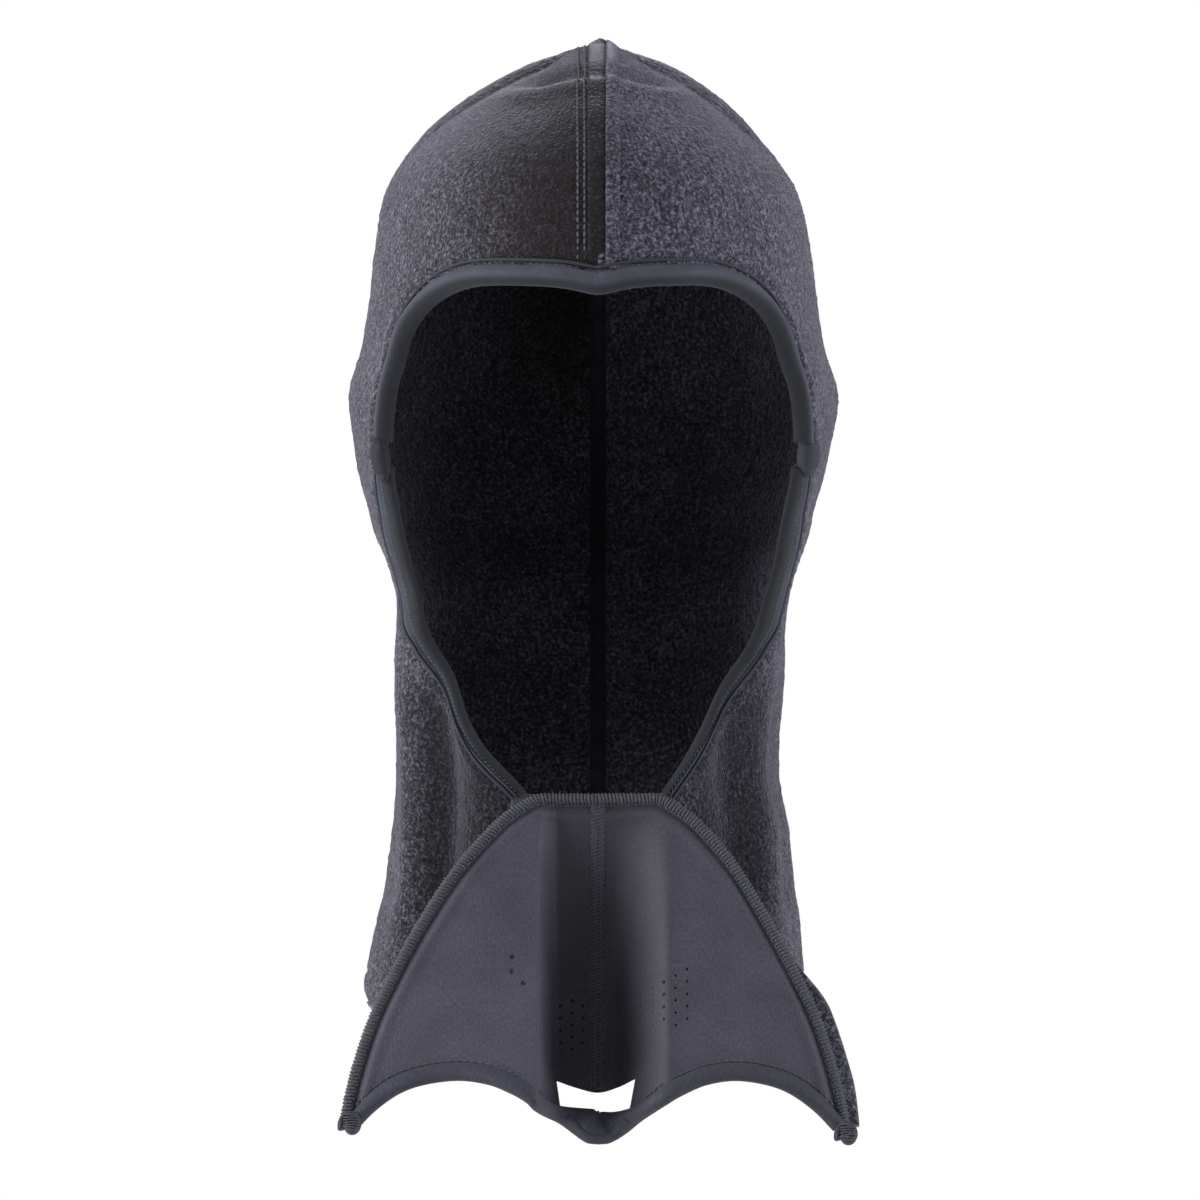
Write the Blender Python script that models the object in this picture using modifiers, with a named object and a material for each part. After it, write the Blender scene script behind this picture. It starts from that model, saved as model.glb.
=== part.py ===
"""Fleece balaclava with a face mask that folds down from the chin.

Metres, +Z up. The wearer faces -Y, and +X is the wearer's left. The origin is where the top of the head meets
the inside of the crown. "Drop" is a distance down from the outside of the crown, and "angle" is measured round
the head from the middle of the forehead, in degrees.

The mask has a frame of its own, which starts at its fold line under the chin: u runs to the wearer's left,
v runs down the mask and w stands out of it, towards whoever faces the wearer.
"""

import math

import bmesh
import bpy
import numpy as np
from mathutils import Matrix, Vector

# ---------------------------------------------------------------- driving sizes

HOOD_BREADTH = 0.160  # across the ears
HOOD_DEPTH = 0.196  # forehead to back of head
HOOD_HEIGHT = 0.320  # crown to neck hem
BROW_DROP = 0.083  # to the top of the face opening
CHIN_DROP = 0.250  # to the bottom of the face opening

FLEECE = 0.0025  # thickness of the hood's cloth
BINDING_CLOTH = 0.0032  # thickness of the folded jersey round the face opening
TAB_CLOTH = 0.0042  # thickness of the turned-over end of the brow binding
MASK_CLOTH = 0.0016  # thickness of the mask's smooth laminate
HEM_CLOTH = 0.0026  # the same laminate, turned over once
SEAM_CLOTH = 0.0009  # thickness of a lapped seam allowance
SEAM_LIFT = 0.0011  # middle of that allowance, out from the cloth under it
CROWN_FLAT = 0.0002  # drop within which the crown counts as level
THREAD_RADIUS = 0.00035
OVERLOCK_RADIUS = 0.0016  # half the thickness of the serged edge of the mask
GAP = 0.0003  # clearance between pieces that are sewn to each other

BROW_BAND = 0.0080  # width of the binding above the temples
CHEEK_BAND_TOP = 0.0065  # width of the binding just under the temples
CHEEK_BAND_END = 0.0036  # width of the binding at the chin
BRIM_STITCH_INSET = 0.0010  # from the binding's outer edge to its row of stitches
TAB_TOP_DROP = 0.1325
TAB_LENGTH = 0.0130

WELT_LEFT = 0.0027  # the crown seam's allowance reaches this far to the wearer's left
WELT_RIGHT = 0.0061  # and this far to the wearer's right
WELT_STITCHES = (-0.0049, -0.0032)  # where the twin needle ran
THROAT_SEAM_HALF = 0.0025
HEM_TURN = 0.0110  # height of the neck hem

MASK_STANDOFF = 0.0050  # fold line in front of the hood's chin
MASK_TILT = math.radians(21.0)  # lean of the wings, away from the chest
RIDGE = 0.0180  # from the centre seam to the fold between the middle and a wing
RIDGE_GAP = 0.0005  # each side of that fold
RIDGE_AXIS_LIFT = 0.0015  # the wing turns about a line this far in front of the cloth's middle
RIDGE_ROUND = 0.0015  # the middle is level with the wing over this width
TROUGH_DEPTH = 0.0280  # how far the middle sits behind the wings
TROUGH_FLAT = 0.0060  # half the width of the trough's floor
TROUGH_RUN = 0.0850  # length over which the trough reaches its depth
BRIDGE_DEPTH = 0.0220  # the same at the nose bridge
BRIDGE_TOP = 0.1027  # v of the nose bridge band's upper edge
BRIDGE_BOTTOM = 0.1143  # v of its lower edge
NOSE_EDGE = 0.0915  # v of the cloth's edge over the nose opening
NOSE_EDGE_RISE = 0.0030  # how much lower that edge is at its ends
NOSE_HALF_TOP = 0.0135
NOSE_HALF_BOTTOM = 0.0106
WING_HEM = 0.0070  # width of the turned hem
MASK_SEAM_HALF = 0.0023
TACK_RADII = (0.0040, 0.0030, 0.0063)
TACK_PLACE = (0.0808, 0.1160)  # u, v of the tacked corner

# ---------------------------------------------------------------- shapes

# Each row is a level of the hood: its drop as a share of the height, its half breadth as a share of half the
# breadth, and its reach to the front and to the back as shares of half the depth. The first row mirrors the
# third, so that the crown is level.
HOOD_LEVELS = np.array(
    [
        (0.019, -0.262, -0.449, -0.408),
        (0.000, 0.000, 0.000, 0.000),
        (0.019, 0.262, 0.449, 0.408),
        (0.050, 0.475, 0.694, 0.592),
        (0.094, 0.669, 0.878, 0.755),
        (0.150, 0.825, 0.990, 0.867),
        (0.225, 0.898, 1.041, 0.939),
        (0.312, 0.953, 1.041, 0.959),
        (0.369, 1.000, 1.020, 0.949),
        (0.431, 0.969, 1.000, 0.898),
        (0.500, 0.891, 0.939, 0.796),
        (0.578, 0.800, 0.857, 0.673),
        (0.672, 0.795, 0.765, 0.592),
        (0.766, 0.790, 0.694, 0.561),
        (0.859, 0.835, 0.612, 0.592),
        (0.938, 0.881, 0.612, 0.653),
        (1.000, 0.938, 0.653, 0.735),
    ]
)

# Half of the face opening, from the middle of the brow to just past the corner at the chin: the angle round the
# head, and the drop as a share of the way from the brow to the chin.
FACE_EDGE = np.array(
    [
        (0.0, 0.010),
        (17.0, 0.000),
        (33.0, 0.000),
        (45.0, 0.030),
        (53.5, 0.088),
        (56.5, 0.165),
        (59.0, 0.263),
        (61.5, 0.359),
        (62.5, 0.461),
        (62.5, 0.569),
        (58.0, 0.653),
        (49.0, 0.735),
        (40.0, 0.829),
        (30.0, 0.928),
        (21.5, 1.000),
        (16.0, 1.045),
    ]
)

# The serged edge of a wing, from the end of the fold line to the tacked corner, and the hem's lower edge, from
# the ridge to the corner, as u, v.
WING_EDGE = np.array(
    [
        (0.0230, 0.0008),
        (0.0335, 0.0093),
        (0.0450, 0.0235),
        (0.0557, 0.0410),
        (0.0646, 0.0578),
        (0.0728, 0.0754),
        (0.0785, 0.0930),
        (0.0814, 0.1070),
    ]
)
WING_HEM_EDGE = np.array(
    [
        (0.0185, 0.1122),
        (0.0260, 0.1070),
        (0.0350, 0.1020),
        (0.0470, 0.0995),
        (0.0610, 0.1026),
        (0.0700, 0.1085),
        (0.0757, 0.1150),
    ]
)

# ---------------------------------------------------------------- curves and surfaces


def along(points, share):
    """The point at this share (0 to 1) of a smooth curve through the points, evenly by point."""
    points = np.asarray(points, float)
    last = len(points) - 1
    place = min(max(share, 0.0), 1.0) * last
    i = min(int(place), last - 1)
    t = place - i
    before = points[i - 1] if i > 0 else 2 * points[0] - points[1]
    after = points[i + 2] if i + 2 <= last else 2 * points[last] - points[last - 1]
    start, end = points[i], points[i + 1]
    return 0.5 * (
        2 * start
        + (end - before) * t
        + (2 * before - 5 * start + 4 * end - after) * t**2
        + (3 * start - before - 3 * end + after) * t**3
    )


def smooth_step(value):
    value = min(max(value, 0.0), 1.0)
    return value * value * (3 - 2 * value)


AROUND = 40  # facets round the hood
LEVELS = 26  # facets from the crown to the neck hem
LEVEL_SHARES = np.linspace(1 / (len(HOOD_LEVELS) - 1), 1.0, 600)
LEVEL_TABLE = np.array([along(HOOD_LEVELS, share) for share in LEVEL_SHARES])


def drop_at(share):
    """The drop at this share of the hood's profile, from the crown (0) to the neck hem (1)."""
    share = min(max(share, 0.0), 1.0)
    return float(np.interp(share, np.linspace(0, 1, len(LEVEL_TABLE)), LEVEL_TABLE[:, 0])) * HOOD_HEIGHT


def share_of(drop):
    """The share of the hood's profile at this drop."""
    return float(np.interp(drop / HOOD_HEIGHT, LEVEL_TABLE[:, 0], np.linspace(0, 1, len(LEVEL_TABLE))))


def hood_point(angle, drop, lift=0.0):
    """The point of the hood's outer surface at this angle and drop, moved out of the cloth by lift."""

    def surface(angle, drop):
        share = drop / HOOD_HEIGHT
        breadth, front, back = (
            np.interp(share, LEVEL_TABLE[:, 0], LEVEL_TABLE[:, k]) for k in (1, 2, 3)
        )
        turn = math.radians(angle)
        reach = front if math.cos(turn) > 0 else back
        return Vector(
            (
                breadth * HOOD_BREADTH / 2 * math.sin(turn),
                -reach * HOOD_DEPTH / 2 * math.cos(turn),
                FLEECE - drop,
            )
        )

    here = surface(angle, drop)
    if lift == 0.0:
        return here
    round_step, down_step = 0.5, 0.0005
    across = surface(angle + round_step, drop) - surface(angle - round_step, drop)
    down = surface(angle, drop + down_step) - surface(angle, max(drop - down_step, 0.0))
    return here + down.cross(across).normalized() * lift


PATTERN_RADIUS = HOOD_BREADTH / 2  # turns an angle into a length on the flat pattern


def face_edge(share, outward=0.0):
    """(angle, drop) at this share of half the face opening's edge, moved away from the opening by outward."""
    step = 0.002

    def flat(share):
        angle, fall = along(FACE_EDGE, share)
        return np.array(
            (
                math.radians(angle) * PATTERN_RADIUS,
                BROW_DROP + fall * (CHIN_DROP - BROW_DROP),
            )
        )

    here = flat(share)
    way = flat(min(share + step, 1.0)) - flat(max(share - step, 0.0))
    way /= np.linalg.norm(way)
    if share <= 0.0:
        way = np.array((1.0, 0.0))
    moved = here + np.array((way[1], -way[0])) * outward
    return math.degrees(moved[0] / PATTERN_RADIUS), moved[1]


def share_at_drop(drop):
    """The share of half the face opening's edge at which it has come down to this drop."""
    shares = np.linspace(0.3, 1.0, 400)
    return float(np.interp(drop, [face_edge(s)[1] for s in shares], shares))


TEMPLE_SHARE = share_at_drop(TAB_TOP_DROP + TAB_LENGTH)
CHIN_SHARE = share_at_drop(CHIN_DROP)


def band_width(share):
    """The width of the binding along half the face opening."""
    if share <= TEMPLE_SHARE:
        return BROW_BAND + (CHEEK_BAND_TOP - BROW_BAND) * smooth_step(share / TEMPLE_SHARE)
    down = (share - TEMPLE_SHARE) / (CHIN_SHARE - TEMPLE_SHARE)
    return CHEEK_BAND_TOP + (CHEEK_BAND_END - CHEEK_BAND_TOP) * min(down, 1.0)


def band_edge(share, extra=0.0, floor=CHIN_DROP):
    """(angle, drop) of the binding's outer edge and extra beyond it, no lower than floor."""
    angle, drop = face_edge(share, band_width(share) + extra)
    return angle, min(drop, floor)


def band_reach(drop):
    """The angle at which the line of the binding's outer edge has come down to this drop."""
    shares = np.linspace(TEMPLE_SHARE, 1.0, 400)
    edge = np.array([band_edge(share, floor=HOOD_HEIGHT) for share in shares])
    return float(np.interp(drop, edge[:, 1], edge[:, 0]))


def patch(s, t, top, foot, start, end):
    """The point at s, t of the flat patch between four edges, each a function of its own share."""
    corners = (
        (1 - s) * (1 - t) * top(0)
        + s * (1 - t) * top(1)
        + (1 - s) * t * foot(0)
        + s * t * foot(1)
    )
    return (1 - t) * top(s) + t * foot(s) + (1 - s) * start(t) + s * end(t) - corners


FOLD_LINE_Y = hood_point(0, CHIN_DROP).y - MASK_STANDOFF
FOLD_LINE_Z = FLEECE - CHIN_DROP
DOWN_MASK = Vector((0, -math.sin(MASK_TILT), -math.cos(MASK_TILT)))
OUT_OF_MASK = Vector((0, -math.cos(MASK_TILT), math.sin(MASK_TILT)))


def trough(u, v):
    """How far the mask's cloth lies behind the plane of the wings."""
    depth = TROUGH_DEPTH * smooth_step(v / TROUGH_RUN)
    depth -= (TROUGH_DEPTH - BRIDGE_DEPTH) * smooth_step((v - TROUGH_RUN) / (BRIDGE_TOP - TROUGH_RUN))
    return depth * (1 - smooth_step((abs(u) - TROUGH_FLAT) / (RIDGE - RIDGE_ROUND - TROUGH_FLAT)))


def mask_point(u, v, lift=0.0):
    """The point of the mask's middle surface at u, v, moved out of the cloth by lift."""

    def surface(u, v):
        return (
            Vector((u, FOLD_LINE_Y, FOLD_LINE_Z))
            + DOWN_MASK * v
            - OUT_OF_MASK * trough(u, v)
        )

    here = surface(u, v)
    if lift == 0.0:
        return here
    step = 0.0005
    across = surface(u + step, v) - surface(u - step, v)
    down = surface(u, v + step) - surface(u, v - step)
    return here + down.cross(across).normalized() * lift


def inset(points, distance):
    """A line of u, v points moved towards the middle of the mask."""
    ways = np.gradient(points, axis=0)
    ways /= np.linalg.norm(ways, axis=1)[:, None]
    return points + np.stack((-ways[:, 1], ways[:, 0]), axis=1) * distance


# ---------------------------------------------------------------- modelling helpers

for old in list(bpy.data.objects):
    bpy.data.objects.remove(old)


def collection(name):
    made = bpy.data.collections.new(name)
    bpy.context.scene.collection.children.link(made)
    return made


BALACLAVA = collection("balaclava")
CUTTERS = collection("cutters")


def material(name, colour, roughness):
    made = bpy.data.materials.new(name)
    made.use_nodes = True
    shader = made.node_tree.nodes["Principled BSDF"]
    shader.inputs["Base Color"].default_value = (*colour, 1)
    shader.inputs["Roughness"].default_value = roughness
    return made


# colour and roughness of each kind of cloth and thread
FLEECE_CLOTH = ((0.070, 0.067, 0.078), 0.95)
JERSEY_CLOTH = ((0.040, 0.044, 0.052), 0.70)
LAMINATE_CLOTH = ((0.036, 0.038, 0.048), 0.62)
SERGING = ((0.026, 0.028, 0.032), 0.80)
THREAD = ((0.016, 0.017, 0.020), 0.60)


def add(name, data, finish, group=BALACLAVA):
    made = bpy.data.objects.new(name, data)
    group.objects.link(made)
    if finish is not None:
        data.materials.append(material(name, *finish))
    return made


def mesh_from(name, form):
    mesh = bpy.data.meshes.new(name)
    form.to_mesh(mesh)
    form.free()
    mesh.shade_smooth()
    return mesh


def sheet(name, columns, rows, place, thickness, finish):
    """A piece of cloth: a flat grid whose points are moved to place(s, t), given a thickness."""
    form = bmesh.new()
    bmesh.ops.create_grid(form, x_segments=columns, y_segments=rows, size=0.5)
    for vertex in form.verts:
        vertex.co = place(vertex.co.x + 0.5, vertex.co.y + 0.5)
    made = add(name, mesh_from(name, form), finish)
    cloth = made.modifiers.new("cloth", "SOLIDIFY")
    cloth.thickness = thickness
    cloth.offset = 0
    return made


def tube(name, points, radius, finish, closed=False, sides=2):
    """A round cord through the points: a row of stitches, or a serged edge."""
    line = bpy.data.curves.new(name, "CURVE")
    line.dimensions = "3D"
    line.bevel_depth = radius
    line.bevel_resolution = sides
    line.use_fill_caps = not closed
    spline = line.splines.new("POLY")
    spline.points.add(len(points) - 1)
    for slot, point in zip(spline.points, points):
        slot.co = (*point, 1)
    spline.use_cyclic_u = closed
    return add(name, line, finish)


def helper(made):
    made.hide_render = True
    made.display_type = "WIRE"
    return made


def hang(name, place, pieces):
    """An empty on the axis of a fold, with the pieces that turn about it."""
    axis = bpy.data.objects.new(name, None)
    axis.empty_display_size = 0.01
    axis.location = place
    BALACLAVA.objects.link(axis)
    for piece in pieces:
        piece.parent = axis
        piece.matrix_parent_inverse = Matrix.Translation(-place)
    return axis


def cut(piece, cutter):
    change = piece.modifiers.new("cut_" + cutter.name, "BOOLEAN")
    change.operation = "DIFFERENCE"
    change.object = cutter


# ---------------------------------------------------------------- hood


def face_cutter():
    """A thick plug that leaves the face opening in the hood, with room for the binding round it."""
    floor = CHIN_DROP + CHEEK_BAND_END + GAP
    shares = np.linspace(0, 1, 200)
    falls = [face_edge(share)[1] for share in shares]
    corner = 4.5 / (len(FACE_EDGE) - 1)
    last = float(np.interp(floor, falls[60:], shares[60:]))

    def edge(side, share):
        angle, drop = band_edge(share, GAP, floor)
        return np.array((side * angle, drop))

    def brow(s):
        turn = 2 * s - 1
        return edge(math.copysign(1, turn), abs(turn) * corner)

    def foot(s):
        return edge(1, last) * np.array((2 * s - 1, 1))

    def place(s, t):
        angle, drop = patch(
            s, t, brow, foot,
            lambda t: edge(-1, corner + (last - corner) * t),
            lambda t: edge(1, corner + (last - corner) * t),
        )
        return hood_point(angle, drop)

    plug = sheet("face_plug", 36, 36, place, 12 * FLEECE, None)
    BALACLAVA.objects.unlink(plug)
    CUTTERS.objects.link(plug)
    return helper(plug)


def half_cutter(side):
    """A block over the half of the hood on this side of the centre seam, and over half the seam's gap."""
    size = 2 * HOOD_HEIGHT
    form = bmesh.new()
    bmesh.ops.create_cube(form, size=size)
    block = add(f"half_{side}", mesh_from(f"half_{side}", form), None, CUTTERS)
    block.location = (side * (size - GAP) / 2, 0, -HOOD_HEIGHT / 2)
    return helper(block)


def hood_panel(name, other_side, opening):
    """Half of the hood: a sphere drawn out to the hood's levels, hollow, and cut at the face and the seam."""
    form = bmesh.new()
    bmesh.ops.create_uvsphere(form, u_segments=AROUND, v_segments=LEVELS + 1, radius=1)
    foot = min(form.verts, key=lambda vertex: vertex.co.z)
    bmesh.ops.delete(form, geom=[foot], context="VERTS")
    half_segment = 180 / AROUND
    for vertex in form.verts:
        level = math.acos(max(-1.0, min(1.0, vertex.co.z))) / math.pi * (LEVELS + 1)
        angle = math.degrees(math.atan2(vertex.co.x, -vertex.co.y)) + half_segment
        vertex.co = hood_point(angle, drop_at(level / LEVELS))
    panel = add(name, mesh_from(name, form), FLEECE_CLOTH)
    cloth = panel.modifiers.new("cloth", "SOLIDIFY")
    cloth.thickness = FLEECE
    cloth.offset = -1
    cut(panel, opening)
    cut(panel, half_cutter(other_side))


def band(name, first, last, side, thickness, steps):
    """Binding along one side of the face opening, between two shares of its edge."""
    lift = -FLEECE / 2

    def place(s, t):
        share = first + (last - first) * s
        angle, drop = face_edge(share, band_width(share) * t)
        return hood_point(side * angle, min(drop, CHIN_DROP), lift)

    return sheet(name, steps, 2, place, thickness, JERSEY_CLOTH)


def brow_band(name, last):
    """Binding over the brow, from temple to temple, in one length."""
    lift = -FLEECE / 2

    def place(s, t):
        turn = 2 * s - 1
        share = abs(turn) * last
        angle, drop = face_edge(share, band_width(share) * t)
        return hood_point(math.copysign(angle, turn), drop, lift)

    return sheet(name, 48, 2, place, BINDING_CLOTH, JERSEY_CLOTH)


def chin_band(name):
    """Binding under the chin, across the ends of the cheek bindings."""

    def place(s, t):
        drop = CHIN_DROP + GAP + (CHEEK_BAND_END - GAP) * t
        reach = band_reach(drop) - math.degrees(4 * GAP / PATTERN_RADIUS)
        return hood_point((2 * s - 1) * reach, drop, -FLEECE / 2)

    return sheet(name, 12, 1, place, BINDING_CLOTH, JERSEY_CLOTH)


def band_stitches(name, first, last, sides, steps):
    """The row of stitches near the outer edge of the binding, over one side or from side to side."""
    lift = (BINDING_CLOTH - FLEECE) / 2 + THREAD_RADIUS + GAP
    points = []
    for turn in np.linspace(first, last, steps):
        share = abs(turn)
        angle, drop = face_edge(share, band_width(share) - BRIM_STITCH_INSET)
        side = sides if sides else math.copysign(1, turn)
        points.append(hood_point(side * angle, drop, lift))
    return tube(name, points, THREAD_RADIUS, THREAD, sides=1)


def over_crown(share, first, last, across, lift):
    """A point over the centre seam, from the brow at first, over the crown, to the nape at last."""
    place = -share_of(first) + share * (share_of(first) + share_of(last))
    point = hood_point(0 if place < 0 else 180, max(drop_at(abs(place)), CROWN_FLAT), lift)
    point.x = across
    return point


def crown_seam():
    first = face_edge(0)[1] - BROW_BAND - 3 * GAP
    last = HOOD_HEIGHT - HEM_TURN - 3 * GAP

    def place(s, t):
        across = -WELT_RIGHT + (WELT_RIGHT + WELT_LEFT) * s
        return over_crown(t, first, last, across, SEAM_LIFT)

    sheet("crown_seam_welt", 2, 48, place, SEAM_CLOTH, FLEECE_CLOTH)
    above = SEAM_LIFT + SEAM_CLOTH / 2 + GAP + THREAD_RADIUS
    for word, across in zip(("outer", "inner"), WELT_STITCHES):
        shares = np.linspace(0.004, 0.996, 49)
        points = [over_crown(share, first, last, across, above) for share in shares]
        tube(f"crown_stitches_{word}", points, THREAD_RADIUS, THREAD, sides=1)


def throat_seam():
    first = CHIN_DROP + CHEEK_BAND_END + 3 * GAP
    last = HOOD_HEIGHT - HEM_TURN - 3 * GAP

    def place(s, t):
        point = hood_point(0, first + (last - first) * t, SEAM_LIFT)
        point.x = THROAT_SEAM_HALF * (2 * s - 1)
        return point

    sheet("throat_seam_welt", 2, 8, place, SEAM_CLOTH, FLEECE_CLOTH)


def neck_hem_stitches():
    lift = THREAD_RADIUS + GAP
    angles = np.linspace(0, 360, 49)[:-1]
    points = [hood_point(a, HOOD_HEIGHT - HEM_TURN, lift) for a in angles]
    tube("neck_hem_stitches", points, THREAD_RADIUS, THREAD, closed=True, sides=1)


def hood():
    opening = face_cutter()
    hood_panel("hood_panel_left", -1, opening)
    hood_panel("hood_panel_right", 1, opening)
    temple = share_at_drop(TAB_TOP_DROP)
    under = share_at_drop(TAB_TOP_DROP + TAB_LENGTH)
    clear = share_at_drop(TAB_TOP_DROP + GAP) - temple
    brow_band("brow_binding", temple - clear)
    band_stitches("brow_stitches", clear - temple, temple - clear, 0, 49)
    for word, side in (("left", 1), ("right", -1)):
        band(f"temple_tab_{word}", temple, under, side, TAB_CLOTH, 4)
        band(f"cheek_binding_{word}", under + clear, CHIN_SHARE, side, BINDING_CLOTH, 20)
        band_stitches(f"cheek_stitches_{word}", under + clear, CHIN_SHARE - 4 * clear, side, 25)
    chin_band("chin_binding")
    crown_seam()
    throat_seam()
    neck_hem_stitches()


# ---------------------------------------------------------------- mask

SERGE_INSET = OVERLOCK_RADIUS + GAP
MIDDLE_EDGE = RIDGE - RIDGE_GAP
WING_START = RIDGE + RIDGE_GAP


def nose_edge(u):
    """v of the mask's lower edge, over the nose opening and where it meets the bridge band."""
    return NOSE_EDGE + NOSE_EDGE_RISE * min(abs(u) / NOSE_HALF_TOP, 1.0) ** 2


def mask_middle(name, side):
    """Half of the middle of the mask, from the centre seam to the ridge."""

    def place(s, t):
        u = GAP / 2 + (MIDDLE_EDGE - GAP / 2) * s
        v = SERGE_INSET + (nose_edge(u) - SERGE_INSET) * t
        return mask_point(side * u, v)

    return sheet(name, 8, 16, place, MASK_CLOTH, LAMINATE_CLOTH)


def bridge_band():
    """The band over the bridge of the nose, with its two ends sewn up to the mask beside the nose opening."""
    level = RIDGE - RIDGE_ROUND
    stops = (0, NOSE_HALF_BOTTOM / 2, NOSE_HALF_BOTTOM, NOSE_HALF_TOP, level, MIDDLE_EDGE)
    upper = [BRIDGE_TOP if stop <= NOSE_HALF_BOTTOM else nose_edge(stop) + GAP for stop in stops]
    columns = 2 * (len(stops) - 1)

    def place(s, t):
        turn = round((2 * s - 1) * (len(stops) - 1))
        u = stops[abs(turn)]
        top = upper[abs(turn)]
        v = top + (BRIDGE_BOTTOM - top) * t
        return mask_point(math.copysign(u, turn), v)

    return sheet("nose_bridge_band", columns, 4, place, HEM_CLOTH, LAMINATE_CLOTH)


def mask_seam():
    lift = MASK_CLOTH / 2 + GAP + SEAM_CLOTH / 2
    top = SERGE_INSET + GAP
    foot = NOSE_EDGE - GAP

    def place(s, t):
        return mask_point(MASK_SEAM_HALF * (2 * s - 1), top + (foot - top) * t, lift)

    pieces = [sheet("mask_centre_seam", 2, 16, place, SEAM_CLOTH, LAMINATE_CLOTH)]
    above = lift + SEAM_CLOTH / 2 + GAP + THREAD_RADIUS
    for word, side in (("left", 1), ("right", -1)):
        u = side * (MASK_SEAM_HALF - THREAD_RADIUS)
        points = [mask_point(u, v, above) for v in np.linspace(top + GAP, foot - GAP, 17)]
        pieces.append(tube(f"mask_seam_stitches_{word}", points, THREAD_RADIUS, THREAD, sides=1))
    return pieces


def fold_line():
    """The serged edge that the mask hangs from."""
    points = [mask_point(u, 0) for u in np.linspace(-MIDDLE_EDGE, MIDDLE_EDGE, 5)]
    return tube("mask_fold_overlock", points, OVERLOCK_RADIUS, SERGING)


def wing_panel(word, side, panel_edge, panel_foot):
    """The cloth between the ridge, the end of the fold line, the serged edge and the hem."""
    start = np.array((WING_START, SERGE_INSET + GAP))

    def place(s, t):
        u, v = patch(
            s, t,
            lambda s: start + s * (panel_edge[0] - start),
            lambda s: along(panel_foot, s),
            lambda t: start + t * (panel_foot[0] - start),
            lambda t: along(panel_edge, t),
        )
        return mask_point(side * u, v)

    return sheet(f"mask_wing_{word}", 10, 14, place, MASK_CLOTH, LAMINATE_CLOTH)


def wing_hem(word, side, hem_top):
    def place(s, t):
        u, v = along(hem_top, s) + np.array((0, WING_HEM * t))
        return mask_point(side * u, v)

    hem = sheet(f"wing_hem_{word}", 16, 1, place, HEM_CLOTH, LAMINATE_CLOTH)
    above = HEM_CLOTH / 2 + GAP + THREAD_RADIUS
    line = hem_top + np.array((0, BRIM_STITCH_INSET))
    points = [mask_point(side * u, v, above) for u, v in (along(line, s) for s in np.linspace(0.01, 0.99, 17))]
    return [hem, tube(f"wing_hem_stitches_{word}", points, THREAD_RADIUS, THREAD, sides=1)]


def corner_tack(word, side):
    form = bmesh.new()
    bmesh.ops.create_uvsphere(form, u_segments=12, v_segments=8, radius=1)
    bmesh.ops.scale(form, vec=TACK_RADII, verts=form.verts)
    tack = add(f"corner_tack_{word}", mesh_from(f"corner_tack_{word}", form), SERGING)
    tack.location = mask_point(side * TACK_PLACE[0], TACK_PLACE[1])
    tack.rotation_euler = (-MASK_TILT, 0, 0)
    return tack


def wing(word, side):
    serged = np.array([along(WING_EDGE, s) for s in np.linspace(0, 1, 21)])
    panel_edge = inset(serged, SERGE_INSET)
    hem_top = WING_HEM_EDGE - np.array((0, WING_HEM))
    panel_foot = np.vstack((hem_top[:-1] - np.array((0, 2 * GAP)), panel_edge[-1]))
    rim = np.vstack(((WING_START + GAP, 0.0), serged))
    points = [mask_point(side * u, v) for u, v in rim]
    pieces = [
        wing_panel(word, side, panel_edge, panel_foot),
        *wing_hem(word, side, hem_top),
        tube(f"wing_overlock_{word}", points, OVERLOCK_RADIUS, SERGING),
        corner_tack(word, side),
    ]
    axis = mask_point(side * RIDGE, 0) + OUT_OF_MASK * RIDGE_AXIS_LIFT
    return hang(f"wing_axis_{word}", axis, pieces)


def mask():
    pieces = [
        mask_middle("mask_middle_left", 1),
        mask_middle("mask_middle_right", -1),
        bridge_band(),
        *mask_seam(),
        fold_line(),
        wing("left", 1),
        wing("right", -1),
    ]
    hang("mask_axis", Vector((0, FOLD_LINE_Y, FOLD_LINE_Z)), pieces)


hood()
mask()
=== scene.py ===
import math

import bmesh
import bpy
import numpy as np
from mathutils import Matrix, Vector


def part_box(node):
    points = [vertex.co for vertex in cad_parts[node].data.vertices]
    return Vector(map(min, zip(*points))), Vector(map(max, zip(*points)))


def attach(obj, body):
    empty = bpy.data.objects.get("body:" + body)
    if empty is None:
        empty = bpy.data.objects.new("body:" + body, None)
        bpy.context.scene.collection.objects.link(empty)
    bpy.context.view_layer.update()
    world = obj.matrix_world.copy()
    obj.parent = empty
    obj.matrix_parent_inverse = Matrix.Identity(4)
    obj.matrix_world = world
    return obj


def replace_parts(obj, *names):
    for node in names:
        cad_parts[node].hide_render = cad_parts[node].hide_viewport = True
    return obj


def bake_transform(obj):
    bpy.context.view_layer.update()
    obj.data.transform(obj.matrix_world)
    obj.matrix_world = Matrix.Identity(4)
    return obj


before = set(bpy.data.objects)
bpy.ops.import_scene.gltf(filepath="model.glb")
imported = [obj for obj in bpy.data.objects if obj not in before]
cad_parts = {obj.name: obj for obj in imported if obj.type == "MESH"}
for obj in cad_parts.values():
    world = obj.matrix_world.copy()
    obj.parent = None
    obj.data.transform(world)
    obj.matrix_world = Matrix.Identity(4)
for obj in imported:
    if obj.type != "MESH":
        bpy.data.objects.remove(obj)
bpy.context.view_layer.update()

# A fleece balaclava whose lower-face mask is folded down from the chin. Metres, +Z up; the wearer faces -Y and
# +X is the wearer's left. "Drop" is a distance down from the top of the crown, and "angle" is measured round the
# head from the middle of the forehead, in degrees. The mask has its own u (to the wearer's left) and v (down the
# mask), from its fold line under the chin.

random = np.random.default_rng(7)

# ---------------------------------------------------------------- sizes from the frame

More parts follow.
